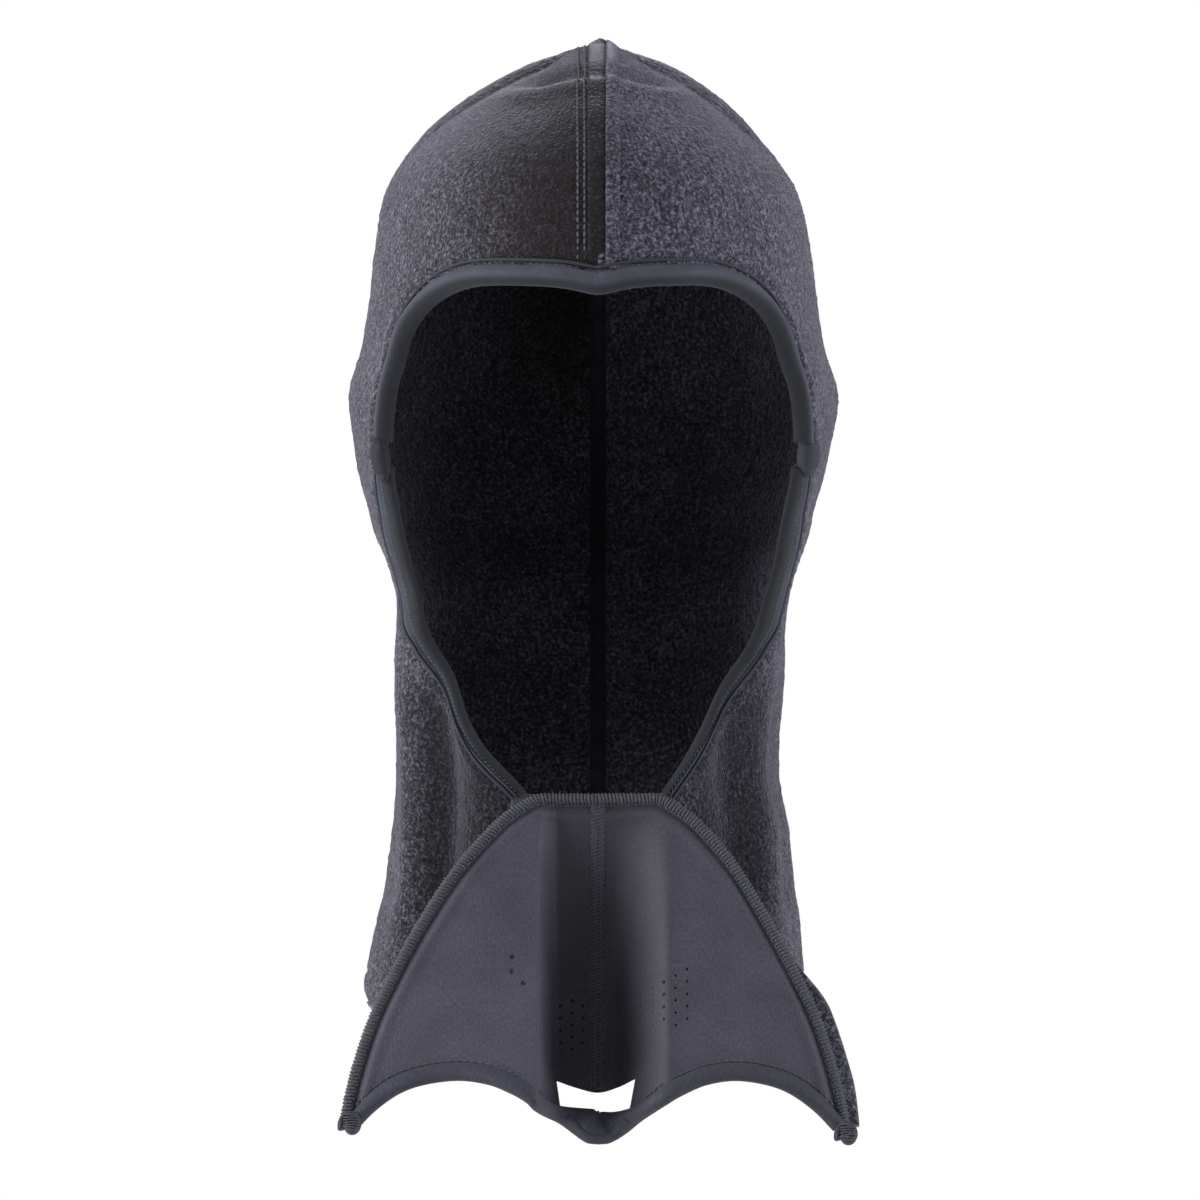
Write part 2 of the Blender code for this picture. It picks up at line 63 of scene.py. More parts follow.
hood_low, hood_high = (np.array(corner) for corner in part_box("hood_panel_left"))
HOOD_TOP = hood_high[2]
HOOD_HEIGHT = HOOD_TOP - hood_low[2]
HALF_BREADTH = 0.080
HALF_DEPTH = 0.098
fold_low, fold_high = (np.array(corner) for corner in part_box("mask_fold_overlock"))
FOLD_Y = (fold_low[1] + fold_high[1]) / 2
FOLD_Z = (fold_low[2] + fold_high[2]) / 2
TILT = math.radians(21.0)

# Each row is a level of the hood: its drop as a share of the height, its half breadth as a share of half the
# breadth, and its reach to the front and to the back as shares of half the depth.
LEVELS = np.array([
    (0.019, -0.262, -0.449, -0.408), (0.000, 0.000, 0.000, 0.000), (0.019, 0.262, 0.449, 0.408),
    (0.050, 0.475, 0.694, 0.592), (0.094, 0.669, 0.878, 0.755), (0.150, 0.825, 0.990, 0.867),
    (0.225, 0.898, 1.041, 0.939), (0.312, 0.953, 1.041, 0.959), (0.369, 1.000, 1.020, 0.949),
    (0.431, 0.969, 1.000, 0.898), (0.500, 0.891, 0.939, 0.796), (0.578, 0.800, 0.857, 0.673),
    (0.672, 0.795, 0.765, 0.592), (0.766, 0.790, 0.694, 0.561), (0.859, 0.835, 0.612, 0.592),
    (0.938, 0.881, 0.612, 0.653), (1.000, 0.938, 0.653, 0.735),
])
# Half of the face opening: angle, and drop as a share of the way from the brow to the chin.
FACE = np.array([
    (0.0, 0.010), (17.0, 0.000), (33.0, 0.000), (45.0, 0.030), (53.5, 0.088), (56.5, 0.165), (59.0, 0.263),
    (61.5, 0.359), (64.0, 0.461), (68.5, 0.569), (63.5, 0.653), (54.0, 0.735), (43.2, 0.829), (31.2, 0.928),
    (21.5, 1.000), (16.0, 1.045),
])
BROW_DROP, CHIN_DROP = 0.083, 0.250
PATTERN_RADIUS = 0.080  # turns an angle round the head into a length on the flat pattern
FLEECE, MASK_CLOTH = 0.0025, 0.0016  # thickness of the cloths


def smooth(value, low=0.0, high=1.0):
    value = np.clip((np.asarray(value, float) - low) / (high - low), 0, 1)
    return value * value * (3 - 2 * value)


def bump(value, middle, width):
    return np.exp(-(((np.asarray(value, float) - middle) / width) ** 2))


def unit(vectors):
    return vectors / np.linalg.norm(vectors, axis=-1, keepdims=True)


def lengths(points):
    """Distance along a line of points, at each of them."""
    return np.concatenate([[0], np.cumsum(np.linalg.norm(np.diff(points, axis=0), axis=1))])


def sampled(at, far, rows):
    """What the rows say at these distances, where far is the distance of each row."""
    return np.stack([np.interp(at, far, column) for column in rows.T], axis=-1)


def curve(points, shares):
    """Points at these shares (0 to 1) of a smooth curve through the given ones, evenly by point."""
    points = np.asarray(points, float)
    place = np.clip(np.atleast_1d(np.asarray(shares, float)), 0, 1) * (len(points) - 1)
    i = np.minimum(place.astype(int), len(points) - 2)
    t = (place - i)[..., None]
    padded = np.concatenate([[2 * points[0] - points[1]], points, [2 * points[-1] - points[-2]]])
    before, start, end, after = (padded[i + k] for k in range(4))
    return 0.5 * (2 * start + (end - before) * t + (2 * before - 5 * start + 4 * end - after) * t**2
                  + (3 * start - before - 3 * end + after) * t**3)


def evenly(points, count):
    """count points at equal distances along a smooth curve through the given ones."""
    fine = curve(points, np.linspace(0, 1, 600))
    far = lengths(fine)
    return sampled(np.linspace(0, far[-1], count), far, fine)


PROFILE_SHARES = np.linspace(0, 1, 800)
PROFILE = curve(LEVELS, 1 / (len(LEVELS) - 1) + PROFILE_SHARES * (1 - 1 / (len(LEVELS) - 1)))


# How far the hood stands wider on the wearer's right and on the left than the even form: drop, right, left.
UNEVEN = np.array([
    (0.000, 0.0000, 0.0000), (0.010, 0.0022, 0.0000), (0.018, 0.0038, 0.0004), (0.030, 0.0052, -0.0008),
    (0.046, 0.0048, 0.0000), (0.062, 0.0036, 0.0000), (0.084, 0.0023, -0.0010), (0.120, 0.0024, -0.0010),
    (0.150, 0.0042, 0.0002), (0.185, 0.0034, -0.0006), (0.205, 0.0052, -0.0006), (0.230, 0.0048, -0.0034),
    (0.245, 0.0048, -0.0034), (0.262, 0.0042, -0.0014), (0.284, 0.0030, -0.0026), (0.298, 0.0048, 0.0000),
    (0.308, 0.0054, 0.0016), (0.321, 0.0034, 0.0020),
])


def widen(points):
    """Moves points of the hood sideways, as it sits unevenly."""
    drop = HOOD_TOP - points[..., 2]
    right, left = (np.interp(drop, UNEVEN[:, 0], UNEVEN[:, k]) for k in (1, 2))
    x = points[..., 0]
    points = points.copy()
    points[..., 0] = x - right * smooth(-x, 0.004, 0.058) + left * smooth(x, 0.004, 0.058)
    return points


def share_of(drop):
    return np.interp(np.asarray(drop, float) / HOOD_HEIGHT, PROFILE[:, 0], PROFILE_SHARES)


# Upright folds of the neck: angle of the middle, width in degrees, and height.
NECK_FOLDS = (
    (-50, 7.5, -0.0052), (-66, 7.0, 0.0026), (-33, 7.0, 0.0022), (-84, 9.0, -0.0014), (-104, 9.0, 0.0012),
    (47, 8.0, -0.0034), (64, 8.0, 0.0020), (80, 8.0, -0.0012), (98, 8.0, 0.0012), (130, 10.0, -0.0018),
    (150, 9.0, 0.0014), (-132, 10.0, -0.0016), (-151, 9.0, 0.0015),
)
# Level folds behind the ears and at the nape: angle, width in degrees, drop, width down the cloth, and height.
NAPE_FOLDS = (
    (-118, 26, 0.150, 0.006, -0.0012), (-112, 24, 0.163, 0.006, 0.0010), (116, 26, 0.153, 0.006, -0.0011),
    (112, 24, 0.166, 0.006, 0.0010), (170, 40, 0.178, 0.008, -0.0016), (-172, 40, 0.178, 0.008, -0.0016),
)


def drape(angle, x, y, z):
    """How far the fleece stands off its smooth shape: slack over the crown, folds at the neck, and the ears."""
    drop = HOOD_TOP - z
    turn = np.radians(angle)
    front = np.cos(turn)
    crown = 1 - smooth(drop, 0.018, 0.050)
    out = -0.0030 * crown * smooth(front, 0.02, 0.30) * smooth(abs(x), 0.004, 0.022)
    out -= 0.0034 * crown * bump(y, -0.008, 0.006) * smooth(abs(x), 0.008, 0.020)
    out += 0.0012 * crown * bump(y, 0.012, 0.012) * smooth(abs(x), 0.010, 0.022)
    out += 0.0018 * bump(drop, 0.0160, 0.0032) * smooth(front, 0.3, 0.8) * (1 - smooth(abs(x), 0.026, 0.046))
    out -= 0.0024 * bump(drop, 0.0112, 0.0028) * smooth(front, 0.3, 0.8) * (1 - smooth(abs(x), 0.028, 0.048))
    out += 0.0022 * bump(np.hypot(x - 0.0008, y), 0, 0.0028)
    out += 0.0016 * bump(abs(angle), 96, 12) * bump(drop, 0.1165, 0.011)
    neck = smooth(drop, 0.185, 0.225) * (1 - smooth(drop, 0.285, 0.312))
    for middle, width, height in NECK_FOLDS:
        lean = 26 * (drop - 0.25) / 0.07 * (0.22 if middle < 0 else -0.16)
        out += height * neck * bump(angle, middle + lean, width)
    for middle, width, level, spread, height in NAPE_FOLDS:
        out += height * bump(angle, middle, width) * bump(drop, level, spread)
    waves = sum(
        np.sin(k * x + l * y + m * z + phase)
        for k, l, m, phase in ((92, 31, 57, 0.4), (-61, 84, 38, 1.9), (47, -70, 101, 3.1), (120, 66, -83, 5.0))
    )
    out += 0.00022 * waves * smooth(drop, 0.004, 0.03)
    ripple = np.sin(drop * 560 + 2.1 * np.sin(drop * 130)) * np.exp(-abs(x) / 0.007)
    out += 0.00022 * ripple
    up = HOOD_HEIGHT - drop
    out += 0.0007 * smooth(-up, -0.0125, -0.0085) * (1 - smooth(-up, -0.003, 0.0))
    out -= 0.0006 * bump(up, 0.0110, 0.0010)
    low = smooth(drop, 0.282, HOOD_HEIGHT)
    out += 0.0012 * low * np.sin(np.radians(angle) * 5 + 0.8)
    out -= 0.0080 * low * bump(angle, 92, 42)
    out -= 0.0016 * smooth(drop, HOOD_HEIGHT - 0.006, HOOD_HEIGHT) * bump(angle, -92, 50)
    return out


def hood(angle, share, lift=0.0):
    """Points of the hood at these angles and shares of its profile, moved out of the cloth by lift."""
    angle, share = np.broadcast_arrays(np.asarray(angle, float), np.asarray(share, float))

    def surface(angle, share):
        drop, breadth, front, back = (np.interp(share, PROFILE_SHARES, PROFILE[:, k]) for k in range(4))
        turn = np.radians(angle)
        reach = np.where(np.cos(turn) > 0, front, back)
        return np.stack([breadth * HALF_BREADTH * np.sin(turn), -reach * HALF_DEPTH * np.cos(turn),
                         HOOD_TOP - drop * HOOD_HEIGHT], axis=-1)

    here = surface(angle, share)
    across = surface(angle + 0.5, share) - surface(angle - 0.5, share)
    down = surface(angle, np.minimum(share + 0.002, 1)) - surface(angle, np.maximum(share - 0.002, 0))
    out = np.cross(down, across)
    size = np.linalg.norm(out, axis=-1, keepdims=True)
    out = np.where(size > 1e-12, out / np.maximum(size, 1e-12), np.array((0, 0, 1.0)))
    out = np.where((share < 0.004)[..., None], np.array((0, 0, 1.0)), out)
    stand = drape(angle, here[..., 0], here[..., 1], here[..., 2]) + lift
    return widen(here + out * np.asarray(stand)[..., None])


def face_edge(share, outward=0.0):
    """(angle, drop) along half the face opening's edge, moved away from the opening by outward."""
    share = np.asarray(share, float)

    def flat(share):
        table = curve(FACE, share).reshape(np.shape(share) + (2,))
        dip = 0.0014 * np.exp(-((table[..., 0] / 6.5) ** 2))
        return np.stack([np.radians(table[..., 0]) * PATTERN_RADIUS,
                         BROW_DROP + table[..., 1] * (CHIN_DROP - BROW_DROP) + dip], axis=-1)

    here = flat(share)
    way = flat(np.minimum(share + 0.002, 1.0)) - flat(np.maximum(share - 0.002, 0.0))
    way = unit(way)
    way = np.where((share <= 0.0)[..., None], np.array((1.0, 0.0)), way)
    moved = here + np.stack([way[..., 1], -way[..., 0]], axis=-1) * np.asarray(outward, float)[..., None]
    return np.degrees(moved[..., 0] / PATTERN_RADIUS), moved[..., 1]


EDGE_SHARES = np.linspace(0.3, 1, 600)
EDGE_DROPS = face_edge(EDGE_SHARES)[1]


def edge_share(drop):
    """The share of the face opening's edge at which it has come down to this drop."""
    return float(np.interp(drop, EDGE_DROPS, EDGE_SHARES))


TEMPLE_TOP, TEMPLE_FOOT, CHIN_SHARE = edge_share(0.1325), edge_share(0.1455), edge_share(CHIN_DROP)
JAW_SHARE = edge_share(0.199)


def band_width(share):
    """Width of the binding along half the face opening."""
    share = np.asarray(share, float)
    brow = 0.0082 - 0.0026 * smooth(share, 0.10, TEMPLE_TOP) + 0.0006 * bump(share, 0.0, 0.05)
    cheek = 0.0062 + 0.0016 * smooth(share, TEMPLE_FOOT, TEMPLE_FOOT + 0.12)
    cheek += 0.0030 * bump(share, TEMPLE_FOOT * 0.65 + JAW_SHARE * 0.35, 0.07)
    cheek -= 0.0036 * smooth(share, JAW_SHARE - 0.055, JAW_SHARE)
    cheek -= 0.0013 * smooth(share, JAW_SHARE, CHIN_SHARE)
    return np.where(share < (TEMPLE_TOP + TEMPLE_FOOT) / 2, brow, cheek)


# ---------------------------------------------------------------- mask surface

DOWN_MASK = np.array((0, -math.sin(TILT), -math.cos(TILT)))
OUT_OF_MASK = np.array((0, -math.cos(TILT), math.sin(TILT)))
TROUGH_DEPTH, BRIDGE_DEPTH = 0.028, 0.022  # behind the plane of the wings, at its deepest and at the nose bridge
TROUGH_RUN, BRIDGE_TOP = 0.085, 0.1027  # v at which it is deepest, and of the nose bridge's upper edge
RIDGE_LEFT, RIDGE_RIGHT = -0.0195, 0.0240  # where the middle meets the wings, from the wearer's right to left


def trough(u, v):
    """How far the mask's cloth lies behind the plane of the wings: steep on one side, easy on the other."""
    deep = TROUGH_DEPTH * (1 - (1 - np.clip(v / TROUGH_RUN, 0, 1)) ** 1.7)
    deep -= (TROUGH_DEPTH - BRIDGE_DEPTH) * smooth(v, TROUGH_RUN, BRIDGE_TOP)
    wall = smooth(u, RIDGE_LEFT, RIDGE_LEFT + 0.0065)
    slope = 1 - smooth(u, 0.0045, RIDGE_RIGHT)
    return deep * wall * slope


def mask(u, v, lift=0.0):
    """Points of the mask at u, v, moved out of the cloth by lift."""
    u, v = np.broadcast_arrays(np.asarray(u, float), np.asarray(v, float))

    def surface(u, v):
        past = np.maximum(abs(u) - 0.020, 0)
        back = trough(u, v) + 1.5 * past**2 * smooth(v, 0.0, 0.05) + 0.10 * past * smooth(v, 0.02, 0.10)
        back += 0.0006 * np.sin(u * 95 + v * 60 + 0.6) * smooth(v, 0.01, 0.04)
        back -= 0.0012 * bump(v, 0.045, 0.018) * bump(abs(u), 0.038, 0.010)
        sway = -0.0016 * bump(u, RIDGE_LEFT + 0.0032, 0.0030) * smooth(v, 0.004, 0.03)
        sway = sway - 0.0021 * smooth(-u, 0.030, 0.066)
        return (np.stack([u + sway, 0 * u + FOLD_Y, 0 * u + FOLD_Z], axis=-1)
                + v[..., None] * DOWN_MASK - back[..., None] * OUT_OF_MASK)

    here = surface(u, v)
    across = surface(u + 0.0004, v) - surface(u - 0.0004, v)
    down = surface(u, v + 0.0004) - surface(u, v - 0.0004)
    out = np.cross(down, across)
    out /= np.maximum(np.linalg.norm(out, axis=-1, keepdims=True), 1e-12)
    return here + out * np.broadcast_to(np.asarray(lift, float), u.shape)[..., None]


def v_at(u, z):
    """v of the point of the mask at this u and height."""
    v = (FOLD_Z - z) / math.cos(TILT)
    for _ in range(12):
        v += (mask(u, v)[..., 2] - z) / math.cos(TILT)
    return v


# Lower edge of the mask: distance from the centre, and height.
HEM_FOOT = np.array([
    (0.0000, -0.3612), (0.0040, -0.3606), (0.0085, -0.3574), (0.0125, -0.3537), (0.0165, -0.3506), (0.0220, -0.3472),
    (0.0290, -0.3438), (0.0360, -0.3411), (0.0450, -0.3399), (0.0550, -0.3413), (0.0630, -0.3443), (0.0710, -0.3500),
    (0.0775, -0.3567),
])
# Serged edge of a wing, from the end of the fold line to the corner, as u, v.
WING_EDGE = np.array([
    (0.0000, 0.0000), (0.0120, 0.0000), (0.0200, 0.0002), (0.0255, 0.0030), (0.0335, 0.0093), (0.0450, 0.0235),
    (0.0557, 0.0410), (0.0646, 0.0578), (0.0728, 0.0754), (0.0785, 0.0930), (0.0814, 0.1070), (0.0818, 0.1130),
])


# ---------------------------------------------------------------- making meshes

ROUND_UV = 0.008  # what one turn round a roll measures in its UV map

def placed(name, data):
    made = bpy.data.objects.new(name, data)
    bpy.context.scene.collection.objects.link(made)
    return made


def piece(name, mesh, finish):
    made = placed(name, mesh)
    mesh.materials.clear()
    mesh.materials.append(finish)
    mesh.shade_smooth()
    return made


def only(chosen):
    bpy.ops.object.select_all(action="DESELECT")
    chosen.select_set(True)
    bpy.context.view_layer.objects.active = chosen


def keep(made, kind, **settings):
    """Adds a modifier and applies it."""
    only(made)
    change = made.modifiers.new(kind.lower(), kind)
    for key, value in settings.items():
        setattr(change, key, value)
    bpy.ops.object.modifier_apply(modifier=change.name)
    return made


def mesh_of(name, points, faces, uv=None):
    """A mesh from points and faces, with a UV map if uv gives one value for each face corner."""
    mesh = bpy.data.meshes.new(name)
    mesh.from_pydata(points.reshape(-1, 3).tolist(), [], faces)
    if uv is not None:
        layer = mesh.uv_layers.new(name="cloth")
        layer.data.foreach_set("uv", uv.astype(np.float32).reshape(-1))
    mesh.update()
    return mesh


def quads_of(index):
    """The four corners of every face of a grid of corner numbers."""
    return np.stack([index[:-1, :-1], index[1:, :-1], index[1:, 1:], index[:-1, 1:]], axis=-1)


def worked(mesh, fill=False, loose=False, merge=0.0, outward=True):
    """Fills open ends, drops loose corners, merges corners closer than merge, and turns every face outwards."""
    form = bmesh.new()
    form.from_mesh(mesh)
    if fill:
        bmesh.ops.holes_fill(form, edges=[edge for edge in form.edges if edge.is_boundary], sides=0)
    if loose:
        bmesh.ops.delete(form, geom=[corner for corner in form.verts if not corner.link_faces], context="VERTS")
    if merge:
        bmesh.ops.remove_doubles(form, verts=form.verts, dist=merge)
    if outward:
        bmesh.ops.recalc_face_normals(form, faces=form.faces)
    form.to_mesh(mesh)
    form.free()
    return mesh


def grid_mesh(name, points, uv=None, ring=False):
    """A mesh over a grid of points, closed across its columns if ring is set."""
    rows, columns = points.shape[:2]
    index = np.arange(rows * columns).reshape(rows, columns)
    if ring:
        index = np.concatenate([index, index[:, :1]], axis=1)
    if uv is not None:
        if ring:
            uv = np.concatenate([uv, uv[:, :1] + (0, ROUND_UV)], axis=1)
        place = np.arange(uv.shape[0] * uv.shape[1]).reshape(uv.shape[:2])
        uv = uv.reshape(-1, 2)[quads_of(place).reshape(-1)]
    return mesh_of(name, points, quads_of(index).reshape(-1, 4).tolist(), uv)


def cloth(name, points, finish, thickness, uv=None):
    """A sheet of cloth over a grid of points on its outer face."""
    made = piece(name, worked(grid_mesh(name, points, uv), merge=1e-6, outward=False), finish)
    return keep(made, "SOLIDIFY", thickness=thickness, offset=-1.0, use_even_offset=True)


def strip(name, rings, finish):
    """A closed roll or band lofted through rings of points, with UV along and round it in metres."""
    along = lengths(rings.mean(axis=1))
    rounds = np.linspace(0, ROUND_UV, rings.shape[1], endpoint=False)
    uv = np.stack(np.meshgrid(along, rounds, indexing="ij"), axis=-1)
    return piece(name, worked(grid_mesh(name, rings, uv, ring=True), fill=True), finish)


def frames(line, outs):
    """Unit vectors along a line, out of the cloth, and across."""
    way = np.gradient(line, axis=0)
    way = unit(way)
    side = np.cross(way, outs)
    side = unit(side)
    return way, np.cross(side, way), side


def cord_rings(line, outs, wide, high, count=12, rest=0.0):
    """Rings of an oval cord along a line; rest lifts it off the line."""
    way, out, side = frames(line, outs)
    turn = np.linspace(0, 2 * math.pi, count, endpoint=False)
    wide, high = (np.broadcast_to(np.asarray(x, float), len(line))[:, None, None] for x in (wide, high))
    return (line[:, None] + side[:, None] * np.cos(turn)[None, :, None] * wide
            + out[:, None] * (np.sin(turn)[None, :, None] * high + rest))


def corners_of(made):
    return np.array([vertex.co for vertex in made.data.vertices])


def taken(made):
    """The corners and faces of a primitive, which is then removed."""
    co, faces = corners_of(made), [tuple(face.vertices) for face in made.data.polygons]
    bpy.data.objects.remove(made)
    return co, faces


def stitch_shape(length, radius, arch, sides=6, steps=5):
    """One stitch: a short thread with its ends tucked down. X along it, Z out of the cloth."""
    bpy.ops.object.select_all(action="DESELECT")
    bpy.ops.mesh.primitive_cylinder_add(vertices=sides, radius=1, depth=1, end_fill_type="TRIFAN")
    made = bpy.context.active_object
    bpy.ops.object.mode_set(mode="EDIT")
    bpy.ops.mesh.select_all(action="SELECT")
    for k in range(1, steps):
        bpy.ops.mesh.select_all(action="SELECT")
        bpy.ops.mesh.bisect(plane_co=(0, 0, k / steps - 0.5), plane_no=(0, 0, 1))
    bpy.ops.object.mode_set(mode="OBJECT")
    co, faces = taken(made)
    t = co[:, 2] * 2
    swell = radius * (1 - 0.45 * np.abs(t) ** 3)
    points = np.stack([t * length / 2, co[:, 1] * swell, co[:, 0] * swell + arch * (1 - t * t) - radius * 0.3], axis=1)
    form = bmesh.new()
    for point in points:
        form.verts.new(point)
    form.verts.ensure_lookup_table()
    for face in faces:
        form.faces.new([form.verts[i] for i in face])
    bmesh.ops.recalc_face_normals(form, faces=form.faces)
    faces = [tuple(v.index for v in face.verts) for face in form.faces]
    form.free()
    return points, faces


def sew(name, shape, places, ways, outs, finish, scale=None):
    """Copies of one stitch, laid along the cloth, as one piece."""
    points, faces = shape
    ways = unit(ways)
    side = np.cross(outs, ways)
    side = unit(side)
    outs = np.cross(ways, side)
    scale = np.ones((len(places), 3)) if scale is None else scale
    basis = np.stack([ways, side, outs], axis=1) * scale[:, :, None]
    made = places[:, None] + np.einsum("pk,nkj->npj", points, basis)
    count = len(points)
    every = [[i + k * count for i in face] for k in range(len(places)) for face in faces]
    along = lengths(places) if len(places) > 1 else np.zeros(1)
    corner = np.array([i for face in every for i in face])
    uv = np.stack([along[corner // count] + points[corner % count, 0], points[corner % count, 1]], axis=1)
    return piece(name, mesh_of(name, made, every, uv), finish)


def along_line(place, count):
    """Evenly spaced points, directions and outward directions of a seam given by place(share, lift)."""
    shares = np.linspace(0, 1, 900)
    line = place(shares, 0.0)
    far = lengths(line)
    shares = np.interp(np.linspace(0, far[-1], count), far, shares)
    here, out = place(shares, 0.0), place(shares, 0.001)
    way = np.gradient(here, axis=0)
    return here, way, out - here, far[-1]


def row_of_stitches(name, place, pitch, finish, length=0.8, radius=0.00028, arch=0.00032, wobble=0.06, slant=0.0):
    """A straight seam: stitches end to end along place(share, lift)."""
    total = along_line(place, 3)[3]
    count = max(2, int(round(total / pitch)))
    here, way, out, _ = along_line(place, count + 1)
    here, way, out = (0.5 * (x[1:] + x[:-1]) for x in (here, way, out))
    out = unit(out)
    way = unit(way)
    side = np.cross(out, way)
    way = way + side * (slant + random.normal(0, wobble, (count, 1)))
    scale = np.stack([random.uniform(0.92, 1.06, count), random.uniform(0.9, 1.1, count),
                      random.uniform(0.85, 1.15, count)], axis=1)
    return sew(name, stitch_shape(total / count * length, radius, arch), here, way, out, finish, scale)


def wrap_shape(wide, high, thread):
    """One turn of overlock thread round a cloth edge: a thin ring across it. X along the edge, Z out of the cloth."""
    bpy.ops.object.select_all(action="DESELECT")
    bpy.ops.mesh.primitive_torus_add(major_radius=1, minor_radius=0.2, major_segments=12, minor_segments=4)
    co, faces = taken(bpy.context.active_object)
    far = np.hypot(co[:, 0], co[:, 1])
    unit = co[:, :2] / far[:, None]
    grow = (far - 1) / 0.2 * thread
    turn = np.arctan2(unit[:, 1], unit[:, 0])
    points = np.stack([co[:, 2] / 0.2 * thread * 1.3 + 0.00022 * np.sin(turn),
                       unit[:, 0] * (wide + grow), unit[:, 1] * (high + grow)], axis=1)
    return points, [face[::-1] for face in faces]


# ---------------------------------------------------------------- finishes


class Shade:
    """A number, colour or vector in a finish. Sums and products of these add the nodes that work them out."""

    def __init__(self, finish, socket):
        self.finish, self.socket = finish, socket

    def _with(self, operation, first, second):
        def number(x):
            return x.socket.type == "VALUE" if isinstance(x, Shade) else not isinstance(x, tuple)
        if number(first) and number(second):
            return self.finish.node("ShaderNodeMath", {"operation": operation}, first, second)
        first, second = (x if isinstance(x, (Shade, tuple)) else (x, x, x) for x in (first, second))
        return self.finish.node("ShaderNodeVectorMath", {"operation": operation}, first, second)

    def __add__(self, other):
        return self._with("ADD", self, other)

    def __radd__(self, other):
        return self._with("ADD", other, self)

    def __sub__(self, other):
        return self._with("SUBTRACT", self, other)

    def __rsub__(self, other):
        return self._with("SUBTRACT", other, self)

    def __mul__(self, other):
        return self._with("MULTIPLY", self, other)

    def __rmul__(self, other):
        return self._with("MULTIPLY", other, self)

    def __truediv__(self, other):
        return self._with("DIVIDE", self, other)

    def __pow__(self, other):
        return self._with("POWER", self, other)

    def wave(self):
        return self.finish.node("ShaderNodeMath", {"operation": "SINE"}, self)

    def size(self):
        return self.finish.node("ShaderNodeMath", {"operation": "ABSOLUTE"}, self)

    def ramp(self, low, high, start=0.0, end=1.0):
        """start below low, end above high, and a smooth step between."""
        return self.finish.node("ShaderNodeMapRange", {"interpolation_type": "SMOOTHSTEP"}, self, low, high, start, end)

    def tint(self, below, above):
        """A colour between two, by this number."""
        return self.finish.node("ShaderNodeMix", {"data_type": "RGBA"}, out=2, sockets={0: self, 6: below, 7: above})

    def parts(self):
        return [self.finish.node("ShaderNodeSeparateXYZ", {}, self, out=k) for k in range(3)]


class Finish:
    """A cloth or thread finish, worked out over the piece's own coordinates."""

    def __init__(self, name):
        self.material = bpy.data.materials.new(name)
        self.material.use_nodes = True
        self.tree = self.material.node_tree
        self.tree.nodes.clear()
        self.surface = self.tree.nodes.new("ShaderNodeBsdfPrincipled")
        shown = self.tree.nodes.new("ShaderNodeOutputMaterial")
        self.tree.links.new(self.surface.outputs[0], shown.inputs[0])
        self.place = self.node("ShaderNodeTexCoord", {}, out=3)
        self.cloth = self.node("ShaderNodeUVMap", {"uv_map": "cloth"})

    def fill(self, socket, value):
        if isinstance(value, Shade):
            self.tree.links.new(value.socket, socket)
        elif isinstance(value, tuple) and socket.type == "RGBA":
            socket.default_value = (*value, 1.0)[:4]
        else:
            socket.default_value = value

    def node(self, kind, settings, *values, out=0, sockets=None):
        made = self.tree.nodes.new(kind)
        for key, value in settings.items():
            setattr(made, key, value)
        for socket, value in {**dict(enumerate(values)), **(sockets or {})}.items():
            self.fill(made.inputs[socket], value)
        return Shade(self, made.outputs[out])

    def noise(self, at, scale, detail=2.0, roughness=0.5, twist=0.0):
        return self.node("ShaderNodeTexNoise", {}, sockets={
            "Vector": at, "Scale": scale, "Detail": detail, "Roughness": roughness, "Distortion": twist})

    def specks(self, at, scale):
        return self.node("ShaderNodeTexVoronoi", {"feature": "F1"}, sockets={"Vector": at, "Scale": scale})

    def stretched(self, at, scale):
        return self.node("ShaderNodeMapping", {}, sockets={"Vector": at, "Scale": scale})

    def done(self, colour, roughness, height=None, depth=0.0003, **plain):
        self.fill(self.surface.inputs["Base Color"], colour)
        self.fill(self.surface.inputs["Roughness"], roughness)
        if height is not None:
            raised = self.node("ShaderNodeBump", {}, sockets={"Strength": 1.0, "Distance": depth, "Height": height})
            self.fill(self.surface.inputs["Normal"], raised)
        for name, value in plain.items():
            self.fill(self.surface.inputs[name.replace("_", " ")], value)
        return self.material


def colour(red, green, blue):
    """A colour from its 0 to 255 values as seen."""
    return tuple((v / 255 / 12.92) if v <= 10 else ((v / 255 + 0.055) / 1.055) ** 2.4 for v in (red, green, blue))


